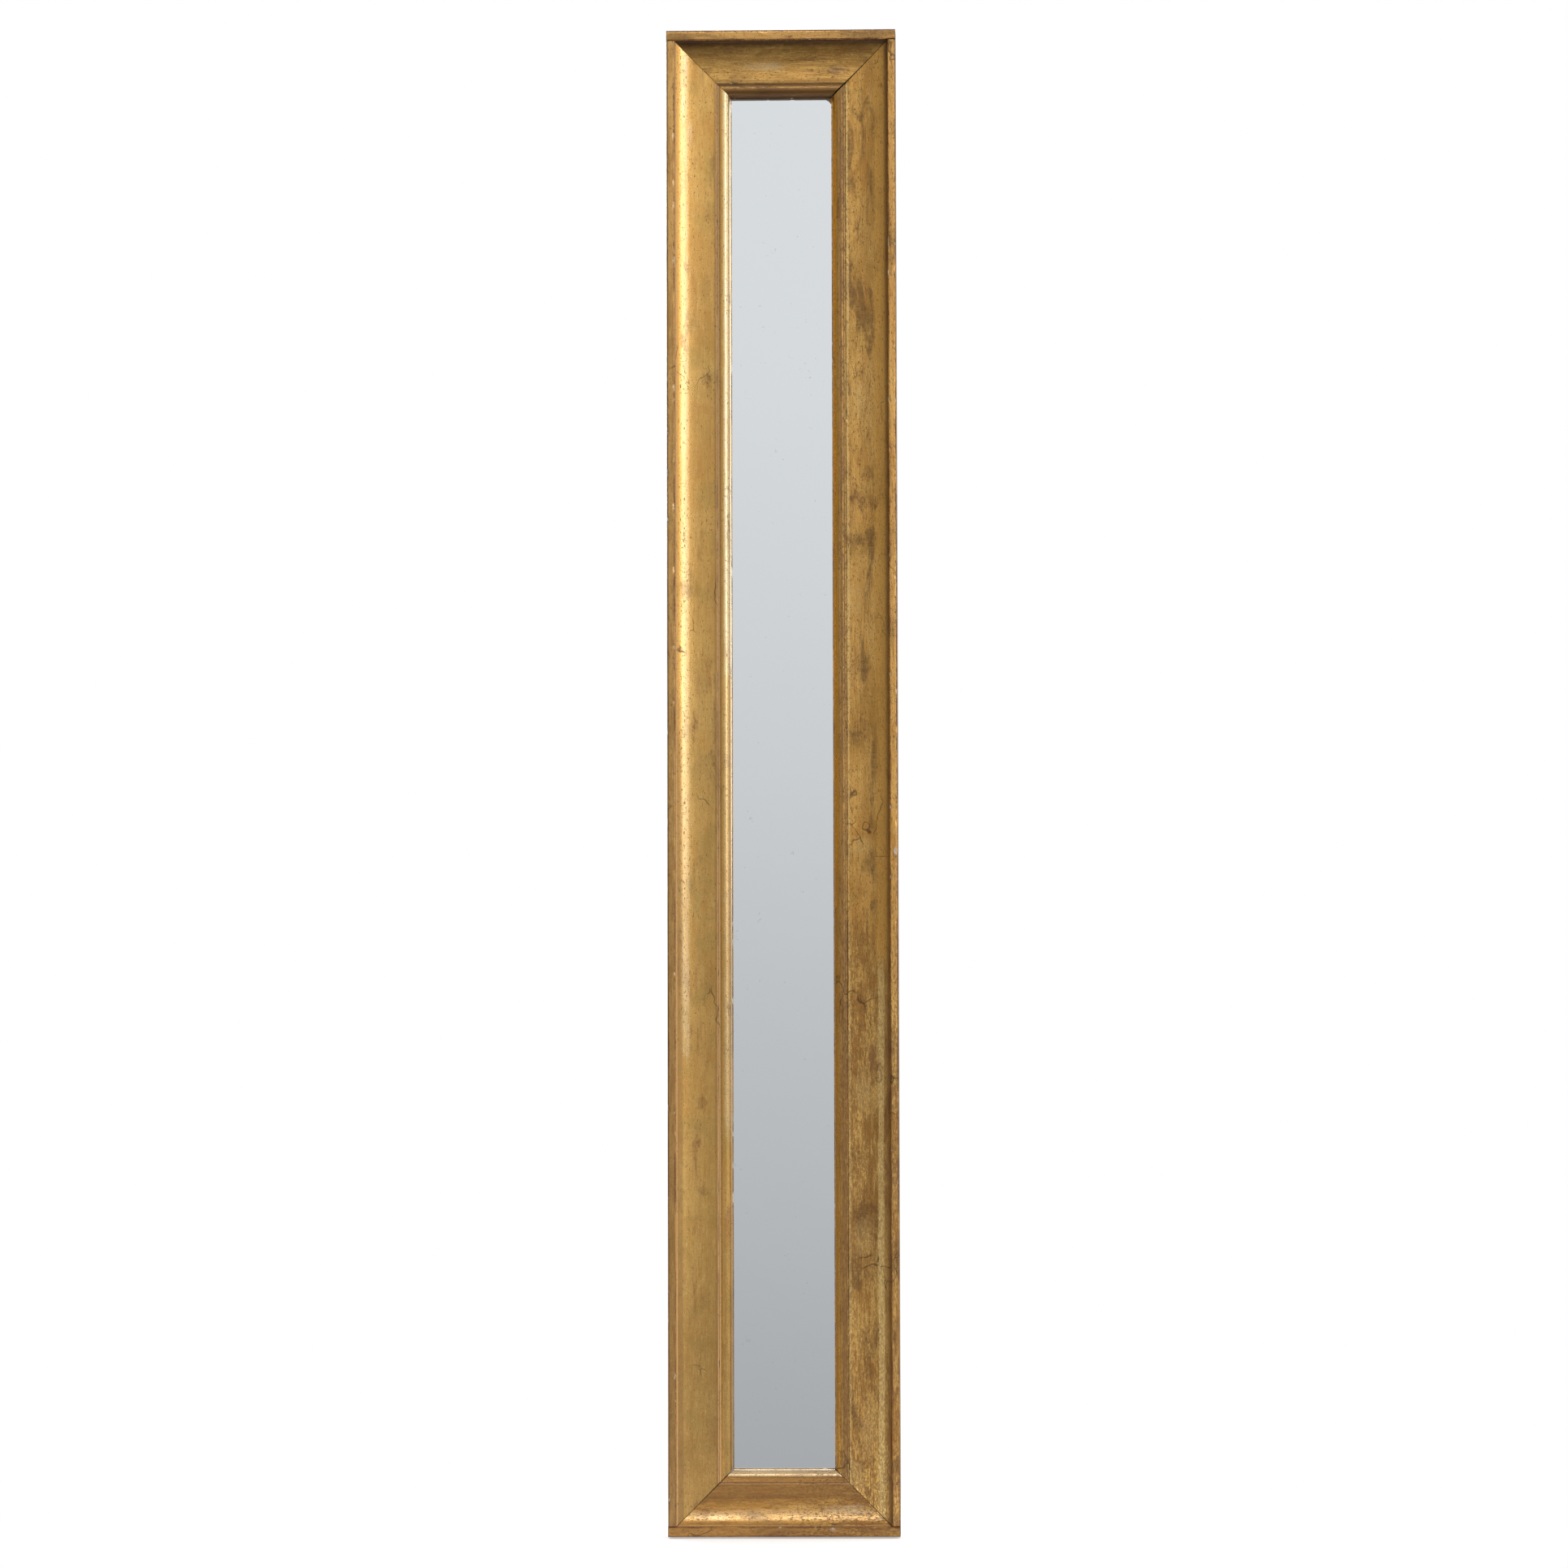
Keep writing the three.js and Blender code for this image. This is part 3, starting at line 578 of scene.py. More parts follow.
    height = m.noise(place, 120, 2, 0.5) * wear["wave"] + mottle * 0.7 + streaks * 0.30 + scratch * 0.10
    height = height + thin * pits * 0.8 + crosswise * 0.12 - fleck * 0.45
    height = height - crack * 0.8 - chalk * 0.5 - joint * 0.8
    if isStrip:
        # behind the arris the leaf stops; the sides are yellow clay with the heads of panel pins
        side = m.smooth(forwards + (patches - 0.5) * 8, *look["leafEnd"], 1.0, 0.0)
        along = m.math("FRACT", run * 4.4 + 0.37 + seed * 0.3) - 0.5
        pin = m.math("SQRT", (along * look["pinPitch"]) ** 2 + (forwards - look["pinDepth"]) ** 2)
        pinHead = m.smooth(pin + (mottle - 0.5) * 1.5, 1.0, 1.5, 1.0, 0.0) * (inwards < 1)
        rust = m.smooth(pin + (mottle - 0.5) * 4, 1.4, 4.5, 1.0, 0.0) * 0.5 * (inwards < 1)
        clay = m.layers(look["ochre"], (m.smooth(patches + bands * 0.3, 0.52, 0.78), look["oldClay"]),
                        (m.smooth(pits + clouds * 0.3, 0.72, 0.82) * 0.7, look["claySoil"]),
                        (m.smooth(pits + mottle * 0.4, 0.91, 0.96), look["gesso"]),
                        (m.most(pinHead, rust), look["pinRust"]))
        colour = m.mixColour(side, colour, clay)
        metal = metal * (1 - side)
        rough = m.mixValue(side, rough, 0.72)
        height = height - pinHead * side * 1.5
    coat = {"Coat Weight": (1 - lost) * keep * wear["coat"], "Coat Roughness": look["coatRough"],
            "Coat IOR": look["coatIor"], "Specular IOR Level": 0.3}
    return closeFinish(m, colour, metal, rough, height, look["bump"] * wear["relief"], more=coat)


def mouldingTree():
    numbers = ["Half Length", "Reach", "Mitre", "Start Gap", "End Gap", "Seat Gap", "Tight Width",
               "Rail Width", "Turn", "Ripple", "Sway", "Chip Depth", "Start Ridge", "End Ridge", "End Ease",
               "Seed"]
    kinds = {label: "NodeSocketFloat" for label in numbers}
    kinds.update({"Steps": "NodeSocketInt", "Finish": "NodeSocketMaterial"})
    m, given = groupTree("mouldingSweep", kinds)
    where = m.geo("InputPosition")
    x, y, _ = m.parts(where)
    store = {"data_type": "FLOAT", "domain": "POINT"}

    def keep(geometry, label, value):
        sockets = {"Geometry": geometry, "Name": label, "Value": value}
        return m.geo("StoreNamedAttribute", store, sockets)

    def named(label):
        return m.geo("InputNamedAttribute", {"data_type": "FLOAT"}, {"Name": label})

    # the steps along the rail crowd together towards its ends
    outline = keep(keep(given["Geometry"], "inwards", x), "forwards", y)
    outline = m.geo("MeshToCurve", {}, {0: outline})
    path = m.geo("CurvePrimitiveLine", {}, {"Start": (-1, 0, 0), "End": (1, 0, 0)})
    path = m.geo("ResampleCurve", {}, {"Curve": path, "Count": given["Steps"]})
    left = 1 - m.math("ABSOLUTE", x)
    eased = 1 - left * (given["End Ease"] + (1 - given["End Ease"]) * left)
    path = keep(path, "share", m.math("SIGN", x) * eased)
    sockets = {"Curve": path, "Profile Curve": outline, "Fill Caps": True}
    swept = m.geo("FlipFaces", {}, {0: m.geo("CurveToMesh", {}, sockets)})

    # the ends are cut to their mitres, which are open where the wood has shrunk
    inwards, forwards, share = named("inwards"), named("forwards"), named("share")
    isEnd = share > 0
    gap = m.mixValue(isEnd, given["Start Gap"], given["End Gap"])
    tight = given["Tight Width"]
    opened = m.math("DIVIDE", inwards - tight, given["Rail Width"] - tight, clamp=True)
    trim = m.math("MAXIMUM", gap * opened, given["Seat Gap"]) * math.sqrt(0.5)
    reach = given["Half Length"] - given["Mitre"] * (inwards + trim)
    sockets = {"Vector": m.join(share * reach, -forwards, inwards - given["Reach"]), "Angle": given["Turn"]}
    turned = m.shade("VectorRotate", {"rotation_type": "Y_AXIS"}, sockets)
    swept = keep(swept, "fromMitre", (1 - m.math("ABSOLUTE", share)) * reach)

    # chips along the arrises
    run = m.join(share * reach * 0.45 + given["Seed"], inwards, forwards)
    chip = m.smooth(m.noise(run, 150, 3, 0.6) + m.noise(run, 14, 1, 0.5) * 0.25, 0.735, 0.80)
    swept = keep(swept, "chip", chip * named("arris"))
    placed = m.geo("SetPosition", {}, {"Geometry": swept, "Position": turned})

    # hand work: a slow sway and a fine ripple inwards, and ridges of old filler beside a mended mitre
    spot = m.vector("ADD", where, m.join(given["Seed"], given["Seed"] * 1.7))
    shrink = m.noise(spot, 70, 3, 0.55) * given["Ripple"] + m.noise(spot, 5, 1, 0.4) * given["Sway"]
    shrink = shrink + named("chip") * given["Chip Depth"]
    ridge = m.mixValue(isEnd, given["Start Ridge"], given["End Ridge"])
    lump = m.band(named("fromMitre") * 1000, 1.8, 0.3, 0.9)
    lump = lump * m.smooth(m.noise(spot, 160, 2, 0.5), 0.35, 0.55)
    seen = m.smooth(forwards, 0.017, 0.020)
    offset = m.vector("SCALE", m.geo("InputNormal"))
    m.plug(offset.socket.node.inputs["Scale"], (ridge * lump - shrink) * seen)
    moved = m.geo("SetPosition", {}, {"Geometry": placed, "Offset": offset})
    return closeTree(m, given, moved)


mouldingWork = {
    # millimetres, and radians for the turns
    "coveStep": 3.0, "sightStep": 3.0, "stripStep": 2.0, "hairline": 0.03, "clearance": 0.04,
    "ripple": 0.07, "sway": 0.25, "chips": 0.9, "ridge": 0.35,
    "turns": {"bottom": 0, "right": -math.pi / 2, "top": math.pi, "left": math.pi / 2},
    "openMitres": {
        "bottom": ("openBottomLeft", None), "right": (None, "openTopRight"),
        "top": ("openTopRight", None), "left": (None, "openBottomLeft"),
    },
    "ridges": {"bottom": (0, 1), "right": (1, 0), "top": (0, 0), "left": (0, 0)},
}
wearLook = {
    # how strongly each kind of wear shows at the bottom, right, top and left, with painted light and shade
    "red": (1.0, 0.4, 0.5, 0.0), "smoke": (0.6, 0.7, 0.6, 0.3), "lines": (0.6, 0.6, 0.5, 0.0),
    "flecks": (0.2, 0.45, 0.2, 0.0), "rub": (0.4, 0.3, 0.2, 0.0), "glint": (0.8, 0.6, 0.5, 0.4),
    "joint": (0.9, 0.8, 0.5, 0.5), "line": (0.5, 0.55, 0.6, 0.25), "dull": (0.45, 0.75, 0.6, 0.3),
    # the matte share lays painted light into the hollows
    "laps": (0.5, 1.0, 0.6, 0.3), "matteHollowLight": (0.5, 0.0, 0.0, 1.0), "wave": (0.3, 0.8, 0.6, 0.3),
    "coat": (0.4, 0.15, 0.25, 0.5), "relief": (0.5, 0.8, 0.8, 0.5), "broken": (0.55, 0.4, 0.55, 0.12),
    # painted light and shade: each side's leaf made darker or brighter, with some change of colour
    "sideShadeAndTint": ((0.84, 0.71, 0.52), (0.92, 0.86, 0.80), (1.20, 1.12, 1.02), (1.02, 0.97, 0.88)),
    # painted light and shade: places along the rail, as the height or the distance from the middle
    # in metres, and the brightness painted there
    "lightAndShade": (
        [(0, 1.0)],
        [(-0.9, 1.34), (-0.5, 1.30), (-0.2, 1.24), (0.1, 1.22), (0.45, 1.18), (0.75, 1.10)],
        [(0, 1.0)],
        [(-0.9, 0.66), (-0.75, 0.73), (-0.53, 0.95), (-0.2, 0.90), (0.1, 0.95), (0.45, 0.95), (0.75, 1.1)],
    ),
}
# where dirt and painted shade lie: place, half width, softness in millimetres from the outer edge,
# and strength; the bands by the top and right rims and on the top bead's fall are painted shade
coveDirtAndShade = {
    "top": [(0, 1.5, 12, 0.9)], "right": [(0, 0.8, 4, 0.45)], "left": [], "bottom": [],
}
sightDirtAndShade = {
    "top": [(53.0, 0.5, 0.8, 0.7), (65.5, 3.5, 5, 0.6)], "right": [], "left": [],
    "bottom": [(52.8, 0.4, 0.7, 0.6)],
}
# bands: place, half width, softness, raggedness in millimetres, what lies there and how much,
# and from where to where in metres if it isn't the whole rail
coveZones = {
    # painted light on the upper half of the left cove's steep wall, painted shade on its lower half
    "left": [(2.5, 2.5, 2.5, 1.0, "amber", 0.8, 0.0, 1), (3.5, 3.0, 3, 1.5, "dull", 0.55, -1, 0.0),
             # a painted highlight along the left cove, and a painted highlight on the arris beside the quirk
             (11.5, 2.5, 4, 1.0, "pale", 0.40, -0.3, 0.95), (49.8, 1.2, 2.5, 3.0, "brown", 0.45),
             (51.3, 0.3, 0.5, 0.8, "pale", 0.5)],
    # painted warm light on the steep wall of the upper right cove
    "right": [(9, 4, 6, 2.0, "amber", 0.75, -0.2, 1), (11.5, 2.4, 3, 4.0, "straw", 0.95, -0.9, -0.30),
              (4, 3, 2, 2.0, "brown", 0.40, -1, -0.30), (50.0, 1.0, 1.0, 3.0, "straw", 0.55),
              # painted shade on the steep wall beside the right rim
              (1.0, 1.6, 3.0, 0.5, "brown", 0.4)],
    # painted shade on the end of the top cove
    "top": [(49.5, 1.5, 3, 1.5, "dull", 0.5)],
    # the pale band is a painted highlight on the bottom cove
    "bottom": [(43, 7, 6, 4.0, "brown", 0.60), (13, 4, 4, 2.0, "pale", 0.25)],
}
sightZones = {
    # a painted highlight on the left bead, stronger above, and painted light on the bead's left side
    "left": [(64.5, 4.5, 2, 0.8, "pale", 0.9, 0.2, 1), (64.5, 4.5, 2, 0.8, "pale", 0.35, -0.4, 0.2),
             (55.4, 1.6, 1.5, 1.0, "amber", 0.6)],
    # painted warm highlight on the fall of the right sight, stronger above
    "right": [(66.0, 2.4, 1.5, 2.0, "honey", 0.95, -0.1, 1), (66.0, 2.4, 1.5, 3.0, "honey", 0.5, -0.9, -0.1),
              # painted shade on the crest of the right bead
              (61, 1.2, 1.2, 1.0, "brown", 0.5), (56, 2.6, 1.2, 0.8, "dull", 0.95)],
    # painted shade on the top bead and its fall
    "top": [(56, 3.0, 1.5, 1.0, "dull", 0.9), (63.5, 3.5, 2, 1.0, "brown", 0.75)],
    # the pale band is a painted highlight on the fall of the bottom sight
    "bottom": [(65.5, 4.2, 2, 1.0, "pale", 0.8), (57.5, 1.8, 1.0, 1.0, "dull", 0.5)],
}
stripZones = {
    # painted shade on the left and right outer rounds and down the lower halves of the side strips
    "left": [(0.0, 0.7, 1.3, 0.5, "brown", 0.8), (5, 6, 3, 1.0, "brown", 0.25, -1, -0.30)],
    "right": [(0.4, 1.0, 1.2, 0.8, "brown", 0.6), (5, 6, 3, 1.0, "brown", 0.35, -1, -0.40)],
    "top": [(0.4, 0.8, 1.3, 0.8, "brown", 0.5)], "bottom": [(6.5, 8, 2, 1.0, "brown", 0.35)],
}
# painted light and shade: each side's strip made darker or brighter, with some change of colour
stripShadeAndTint = {
    "left": (1.0, 0.95, 0.89), "right": (1.06, 0.99, 0.93), "top": (1.02, 0.94, 0.92),
    "bottom": (0.84, 0.71, 0.54),
}
# single marks: x, z, half width, half height in millimetres, what shows there and how much
marksLook = {
    "left": [(-100, -399, 7, 9, "brown", 0.6), (-100, -509, 6, 8, "brown", 0.55),
             # the pale marks at the top of the left rail are painted highlights
             (-139, -919, 2.5, 4, "chalk", 0.9), (-118, 888, 2.5, 14, "pale", 0.7),
             (-121, 842, 2, 26, "pale", 0.5), (-106, 892, 8, 5, "brown", 0.5),
             (-113, 802, 3, 20, "pale", 0.4), (-90, 700, 9, 14, "brown", 0.3),
             (-95, 610, 8, 20, "brown", 0.25), (-98, 120, 9, 22, "brown", 0.25),
             (-90, -250, 9, 18, "brown", 0.25), (-97, -640, 8, 16, "brown", 0.35),
             (-88, -800, 9, 25, "brown", 0.3)],
    "right": [(113, 340, 7, 9, "brown", 0.75), (106, 376, 8, 9, "brown", 0.6),
              (86, 297, 10, 8, "brown", 0.55), (122, -97, 9, 0.7, "dark", 0.9),
              (97, -84, 14, 12, "straw", 0.3), (139, -91, 2, 5, "chalk", 0.8),
              (92, 610, 12, 16, "brown", 0.35), (96, 470, 10, 24, "straw", 0.25),
              (88, 220, 12, 20, "straw", 0.25), (98, 60, 12, 18, "brown", 0.45),
              (90, -190, 12, 20, "brown", 0.35), (98, -385, 13, 26, "straw", 0.4),
              (90, -470, 14, 20, "brown", 0.4), (97, -565, 12, 26, "straw", 0.35),
              (100, -690, 11, 26, "brown", 0.4), (104, -800, 10, 40, "straw", 0.4),
              (87, -860, 12, 26, "straw", 0.5)],
    "top": [(34, 918, 3.5, 1.2, "chalk", 0.8), (91, 928, 2.5, 1.6, "chalk", 0.8),
            (91, 922, 0.5, 8, "dark", 0.9), (-62, 905, 32, 5, "brown", 0.85),
            (38, 894, 28, 4, "brown", 0.75), (94, 904, 20, 5, "brown", 0.8),
            (-20, 885, 28, 6, "pale", 0.35), (68, 880, 14, 5, "pale", 0.4), (104, 893, 8, 5, "dull", 0.6),
            (-92, 881, 9, 5, "brown", 0.45)],
    # the pale marks on the bottom cove are painted highlights
    "bottom": [(59, -919, 4, 2, "chalk", 0.75), (-85, -905, 24, 4, "pale", 0.45),
               (76, -896, 30, 6, "pale", 0.45), (0, -880, 42, 4, "brown", 0.4),
               (-97, -901, 7, 8, "brown", 0.5), (20, -893, 30, 4, "straw", 0.3)],
}


wedge = {
    # millimetres from the corner of the opening, outwards along each side; depth and scale of each level
    "outline": [(0.5, 0.5), (-6.4, 0.5), (-6.1, -0.5), (-4.0, -1.3), (-1.6, -3.6), (-0.7, -5.0), (0.5, -5.2)],
    "levels": [(16.35, 1.0), (21.1, 1.0), (21.5, 0.90)], "fromMitre": 4,
}


def fillCorner(piece):
    # a wedge of old filler across the corner of the opening, where the top mitre has opened
    s = sizes
    u, w = s["halfWidth"] - s["railWidth"], s["halfHeight"] - s["railWidth"]
    outline, levels = wedge["outline"], wedge["levels"]
    work = bmesh.new()
    work.from_mesh(piece.data)
    places = {name: work.verts.layers.float[name] for name in ("inwards", "forwards", "fromMitre")}
    rings = []
    for forwards, size in levels:
        spots = [((u + a * size) * mm, -forwards * mm, (w + b * size) * mm) for a, b in outline]
        ring = [work.verts.new(spot) for spot in spots]
        for vert in ring:
            vert[places["inwards"]], vert[places["forwards"]] = s["railWidth"] * mm, forwards * mm
            vert[places["fromMitre"]] = wedge["fromMitre"] * mm
        rings.append(ring)
    faces = [work.faces.new(rings[0]), work.faces.new(rings[-1])] + bridge(work, rings)
    bmesh.ops.recalc_face_normals(work, faces=faces)
    work.to_mesh(piece.data)
    work.free()


def makeMouldings():
    s, work = sizes, mouldingWork
    tree = mouldingTree()
    made = []
    for number, (side, turn) in enumerate(work["turns"].items()):
        isEnd = side in ("top", "bottom")
        halfLength = s["halfWidth"] if isEnd else s["halfHeight"]
        reach = s["halfHeight"] if isEnd else s["halfWidth"]
        stripWidth = s["endStrip"] if isEnd else s["sideStrip"]
        startGap, endGap = [s[label] * mm if label else 0 for label in work["openMitres"][side]]
        startRidge, endRidge = [share * work["ridge"] * mm for share in work["ridges"][side]]
        shared = {
            "Seat Gap": work["hairline"] * mm, "Tight Width": s["tightMitre"] * mm,
            "Rail Width": s["railWidth"] * mm, "Turn": turn, "Ripple": work["ripple"] * mm,
            "Sway": work["sway"] * mm, "Chip Depth": work["chips"] * mm,
        }
        mitred = {**shared, "Mitre": 1, "Half Length": halfLength * mm, "Reach": reach * mm, "End Ease": 0.3,
                  "Start Gap": startGap, "End Gap": endGap, "Start Ridge": startRidge, "End Ridge": endRidge}
        stripHalf = halfLength + (s["sideStrip"] + s["seatGap"] if isEnd else s["seatGap"] - work["clearance"])
        square = {**shared, "Mitre": 0, "Half Length": stripHalf * mm, "Start Gap": 0, "End Gap": 0,
                  "End Ease": 1, "Start Ridge": 0, "End Ridge": 0,
                  "Reach": (reach + s["seatGap"] + stripWidth) * mm}
        jobs = [
            ("cove", "cove_moulding_", coveProfile(), mitred, coveDirtAndShade[side], coveZones,
             {"arris": 0.5, "metal": 0.92}),
            ("sight", "sight_moulding_", sightProfile(), mitred, sightDirtAndShade[side], sightZones,
             {"arris": 0.7, "metal": 0.92}),
            ("strip", "outer_strip_", stripProfile(stripWidth), square, [], stripZones,
             {"arris": 0.95, "metal": 0.7, "red": 1.2, "smoke": 0.8, "broken": 0.5, "sideShadeAndTint": stripShadeAndTint[side]}),
        ]
        for kind, node, shape, values, dirt, zones, more in jobs:
            wear = {**{label: row[number] for label, row in wearLook.items()}, **more}
            finish = gilding(f"{kind}Gilding{side.title()}", "Z" if isEnd else "X", number + 1.0, wear, dirt,
                             zones[side], marksLook[side], kind == "strip")
            steps = round(2 * values["Half Length"] / mm / work[kind + "Step"]) + 1
            values = {**values, "Steps": steps, "Seed": 3.1 * number + len(made), "Finish": finish}
            piece = growPiece(f"{kind}{side.title()}", outlineMesh(kind + side, *shape), tree, values)
            if piece.name == "sightTop":
                fillCorner(piece)
            made.append(settle(piece, [node + side]))
    print("mouldings:", len(made))


makeMouldings()


# mirror plate

plateLook = {
    "silver": (0.885, 0.925, 0.955), "tarnish": (0.42, 0.40, 0.37), "backing": (0.105, 0.045, 0.030),
    "cloud": (0.83, 0.86, 0.88), "oldBacking": (0.06, 0.028, 0.020), "ease": 0.5, "rough": 0.035,
    "spots": 0.72,
    # metres: where the edge starts to tarnish, and the depth at which the paint begins
    "marginX": (0.0600, 0.0685), "marginZ": (0.8445, 0.8525), "rear": (-0.0142, -0.0136),
}


def silvering():
    # an old silvered plate: a mirror in front, brown paint over the silver behind
    look = plateLook
    m, place = newFinish("silveredPlate")
    x, y, z = m.parts(place)
    clouds = m.noise(place, 6, 3, 0.5, 0.3)
    grain = m.noise(place, 420, 3, 0.6)
    spots = m.smooth(m.noise(place, 95, 4, 0.7) + clouds * 0.12, look["spots"], look["spots"] + 0.06)
    margin = m.most(m.smooth(m.math("ABSOLUTE", x), *look["marginX"]),
                    m.smooth(m.math("ABSOLUTE", z), *look["marginZ"]))
    tarnish = m.most(spots * 0.25, m.smooth(margin * 0.7 + grain * 0.6, 0.72, 1.05) * 0.7)
    front = m.layers(look["silver"], (tarnish, look["tarnish"]), (clouds * 0.10, look["cloud"]))
    behind = m.smooth(y, *look["rear"])
    worn = m.smooth(m.noise(place, 60, 4, 0.6), 0.4, 0.62)
    paint = m.mixColour(worn, look["backing"], look["oldBacking"])
    rough = m.mixValue(behind, grain * 0.02 + tarnish * 0.3 + look["rough"] - 0.01, 0.6)
    coat = {"Coat Weight": 0.4, "Coat Roughness": 0.03}
    return closeFinish(m, m.mixColour(behind, front, paint), 1 - behind, rough, m.noise(place, 14, 2, 0.5),
                       0.0002, 0.25, coat)


plate = easedCopy("mirrorPlate", "mirror_plate", silvering(), plateLook["ease"])
settle(plate, ["mirror_plate"])
print("mirror plate")


# back frame, boards and pegs

woodLook = {
    "frame": {"early": (0.315, 0.180, 0.080), "late": (0.170, 0.082, 0.032), "rings": 300,
              "pith": (0.035, 0.11), "dirt": 0.45, "saw": 0.25, "knots": 0.62, "rough": 0.58, "grey": 0.15},
    "board": {"early": (0.310, 0.195, 0.105), "late": (0.145, 0.082, 0.040), "rings": 230,
              "pith": (0.012, 0.055), "dirt": 0.42, "saw": 1.0, "knots": 0.50, "rough": 0.74, "grey": 0.45},
    "soil": (0.048, 0.028, 0.016), "knot": (0.085, 0.036, 0.015), "silvered": (0.235, 0.190, 0.140),
}


def wood(name, kind, along, seed):
    # along: the object axis that the grain follows, X or Z
    look = woodLook[kind]
    m, bare = newFinish(name)
    x, y, z = m.parts(bare)
    run, across = (z, x) if along == "Z" else (x, z)
    flat = m.vector("ADD", m.join(run, across, y), (seed * 1.31, seed * 0.17, 0))

    def fibre(alongScale, acrossScale, detail=3, rough=0.6, distort=0.0):
        return m.noise(m.stretch(flat, (alongScale, acrossScale, acrossScale)), 1, detail, rough, distort)

    # knots, with the rings bending round them
    knotPlace = m.stretch(flat, (2.6, 11, 0))
    away = m.cells(knotPlace, 1)
    kindOf = m.parts(m.cells(knotPlace, 1, output=1))[0]
    present = kindOf > look["knots"]
    knot = m.smooth(away, 0.055, 0.10, 1.0, 0.0) * present
    swirl = m.smooth(away, 0.05, 0.50, 1.0, 0.0) * present

    # growth rings round a pith that lies behind the board
    sideways, deep = across - look["pith"][0] - seed * 0.006, y - look["pith"][1]
    radius = m.math("SQRT", sideways ** 2 + deep ** 2) + fibre(1.5, 5, 2, 0.4) * 0.030 + swirl * 0.012
    ring = m.math("FRACT", radius * look["rings"] + fibre(9, 60, 2) * 0.30)
    late = m.smooth(ring, 0.35, 0.92) * m.smooth(ring, 0.93, 1.0, 1.0, 0.0)
    fine = fibre(38, 1500, 3, 0.65)
    pores = m.smooth(fibre(75, 2300, 2), 0.60, 0.70)
    clouds = m.noise(flat, 7, 4, 0.6, 0.4)
    blotch = m.noise(m.stretch(flat, (14, 34, 34)), 1, 5, 0.68, 0.6)

    soil = m.smooth(blotch + clouds * 0.35, 0.62, 0.90) * look["dirt"]
    split = m.smooth(fibre(3.2, 330, 3, 0.55, 0.4), 0.705, 0.725)
    colour = m.layers(look["early"], (late * 0.75, look["late"]),
                      (m.smooth(fine, 0.35, 0.68) * 0.35, look["late"]),
                      (m.smooth(clouds + blotch * 0.3, 0.52, 0.80) * look["grey"], woodLook["silvered"]),
                      (pores * 0.45, woodLook["soil"]), (knot, woodLook["knot"]),
                      (m.math("MAXIMUM", soil, split * 0.8, clamp=True), woodLook["soil"]))

    # marks of the saw across rough boards
    teeth = m.math("SINE", run * 1450 + m.noise(flat, 22, 2, 0.5) * 9 + across * 130)
    saw = teeth * m.smooth(clouds, 0.42, 0.58) * look["saw"]
    height = fine * 0.5 - late * 0.30 - pores * 0.4 - split * 1.4 - knot * 0.3 + saw * 0.22
    rough = fine * 0.16 + soil * 0.10 - late * 0.06 + look["rough"] - 0.05
    return closeFinish(m, colour, 0.0, rough, height, 0.0005)


backWork = {"frameEase": 0.9, "boardEase": 0.5, "pegEase": 0.35}


def makeBack():
    made = []
    for side, along, part in (("left", "Z", "stile"), ("right", "Z", "stile"), ("top", "X", "rail"),
                              ("bottom", "X", "rail")):
        name = f"backFrame{part.title()}{side.title()}"
        finish = wood(name + "Pine", "frame", along, len(made) + 1.0)
        node = f"back_frame_{part}_{side}"
        made.append(settle(easedCopy(name, node, finish, backWork["frameEase"]), [node]))
    for place in ("lower", "middle", "upper"):
        name = f"backboard{place.title()}"
        finish = wood(name + "Pine", "board", "Z", len(made) * 2.3)
        node = f"backboard_{place}"
        made.append(settle(easedCopy(name, node, finish, backWork["boardEase"]), [node]))
    pegWood = wood("pegWood", "frame", "Z", 9.0)
    for end in ("bottom", "top"):
        for side in ("left", "right"):
            node = f"corner_peg_{end}_{side}"
            name = f"cornerPeg{end.title()}{side.title()}"
            piece = easedCopy(name, node, pegWood, backWork["pegEase"], 60)
            made.append(settle(piece, [node]))
    blockWood = wood("blockWood", "frame", "Z", 4.0)
    for name, node in frameNodes.items():
        if name.startswith("glazing_block"):
            node.data.materials.clear()
            node.data.materials.append(blockWood)
    print("back frame and boards:", len(made))


makeBack()


# iron: straps, rings, screws and nails

ironLook = {
    "iron": (0.060, 0.052, 0.046), "rust": (0.175, 0.062, 0.022), "darkRust": (0.060, 0.024, 0.012),
    "bright": (0.30, 0.28, 0.26), "black": (0.035, 0.030, 0.027), "rough": 0.42,
}


def iron(name, rusty, bright=0.0):
    look = ironLook
    m, place = newFinish(name)
    forged = m.noise(place, 210, 4, 0.65)
    pitting = m.noise(place, 1300, 3, 0.6)
    blooms = m.noise(place, 95, 5, 0.7, 0.6)
    scratch = m.noise(m.stretch(place, (1600, 1600, 140)), 1, 2, 0.6)
    rust = m.smooth(blooms + pitting * 0.25 + rusty * 0.1, 0.62, 0.80)
    crust = m.smooth(pitting + blooms * 0.3, 0.66, 0.80)
    rub = m.smooth(scratch + forged * 0.4, 0.80, 0.95)
    colour = m.layers(look["iron"], (m.smooth(forged, 0.35, 0.70), look["black"]),
                      (rub * (0.25 + bright), look["bright"]), (rust, look["rust"]),
                      (crust * rust, look["darkRust"]))
    rough = forged * 0.15 + rust * 0.35 + look["rough"] - 0.08
    height = forged * 1.2 + rust * pitting * 1.6 - crust * 0.5
    return closeFinish(m, colour, (1 - rust) * 0.85, rough, height, 0.0003, 0.9)


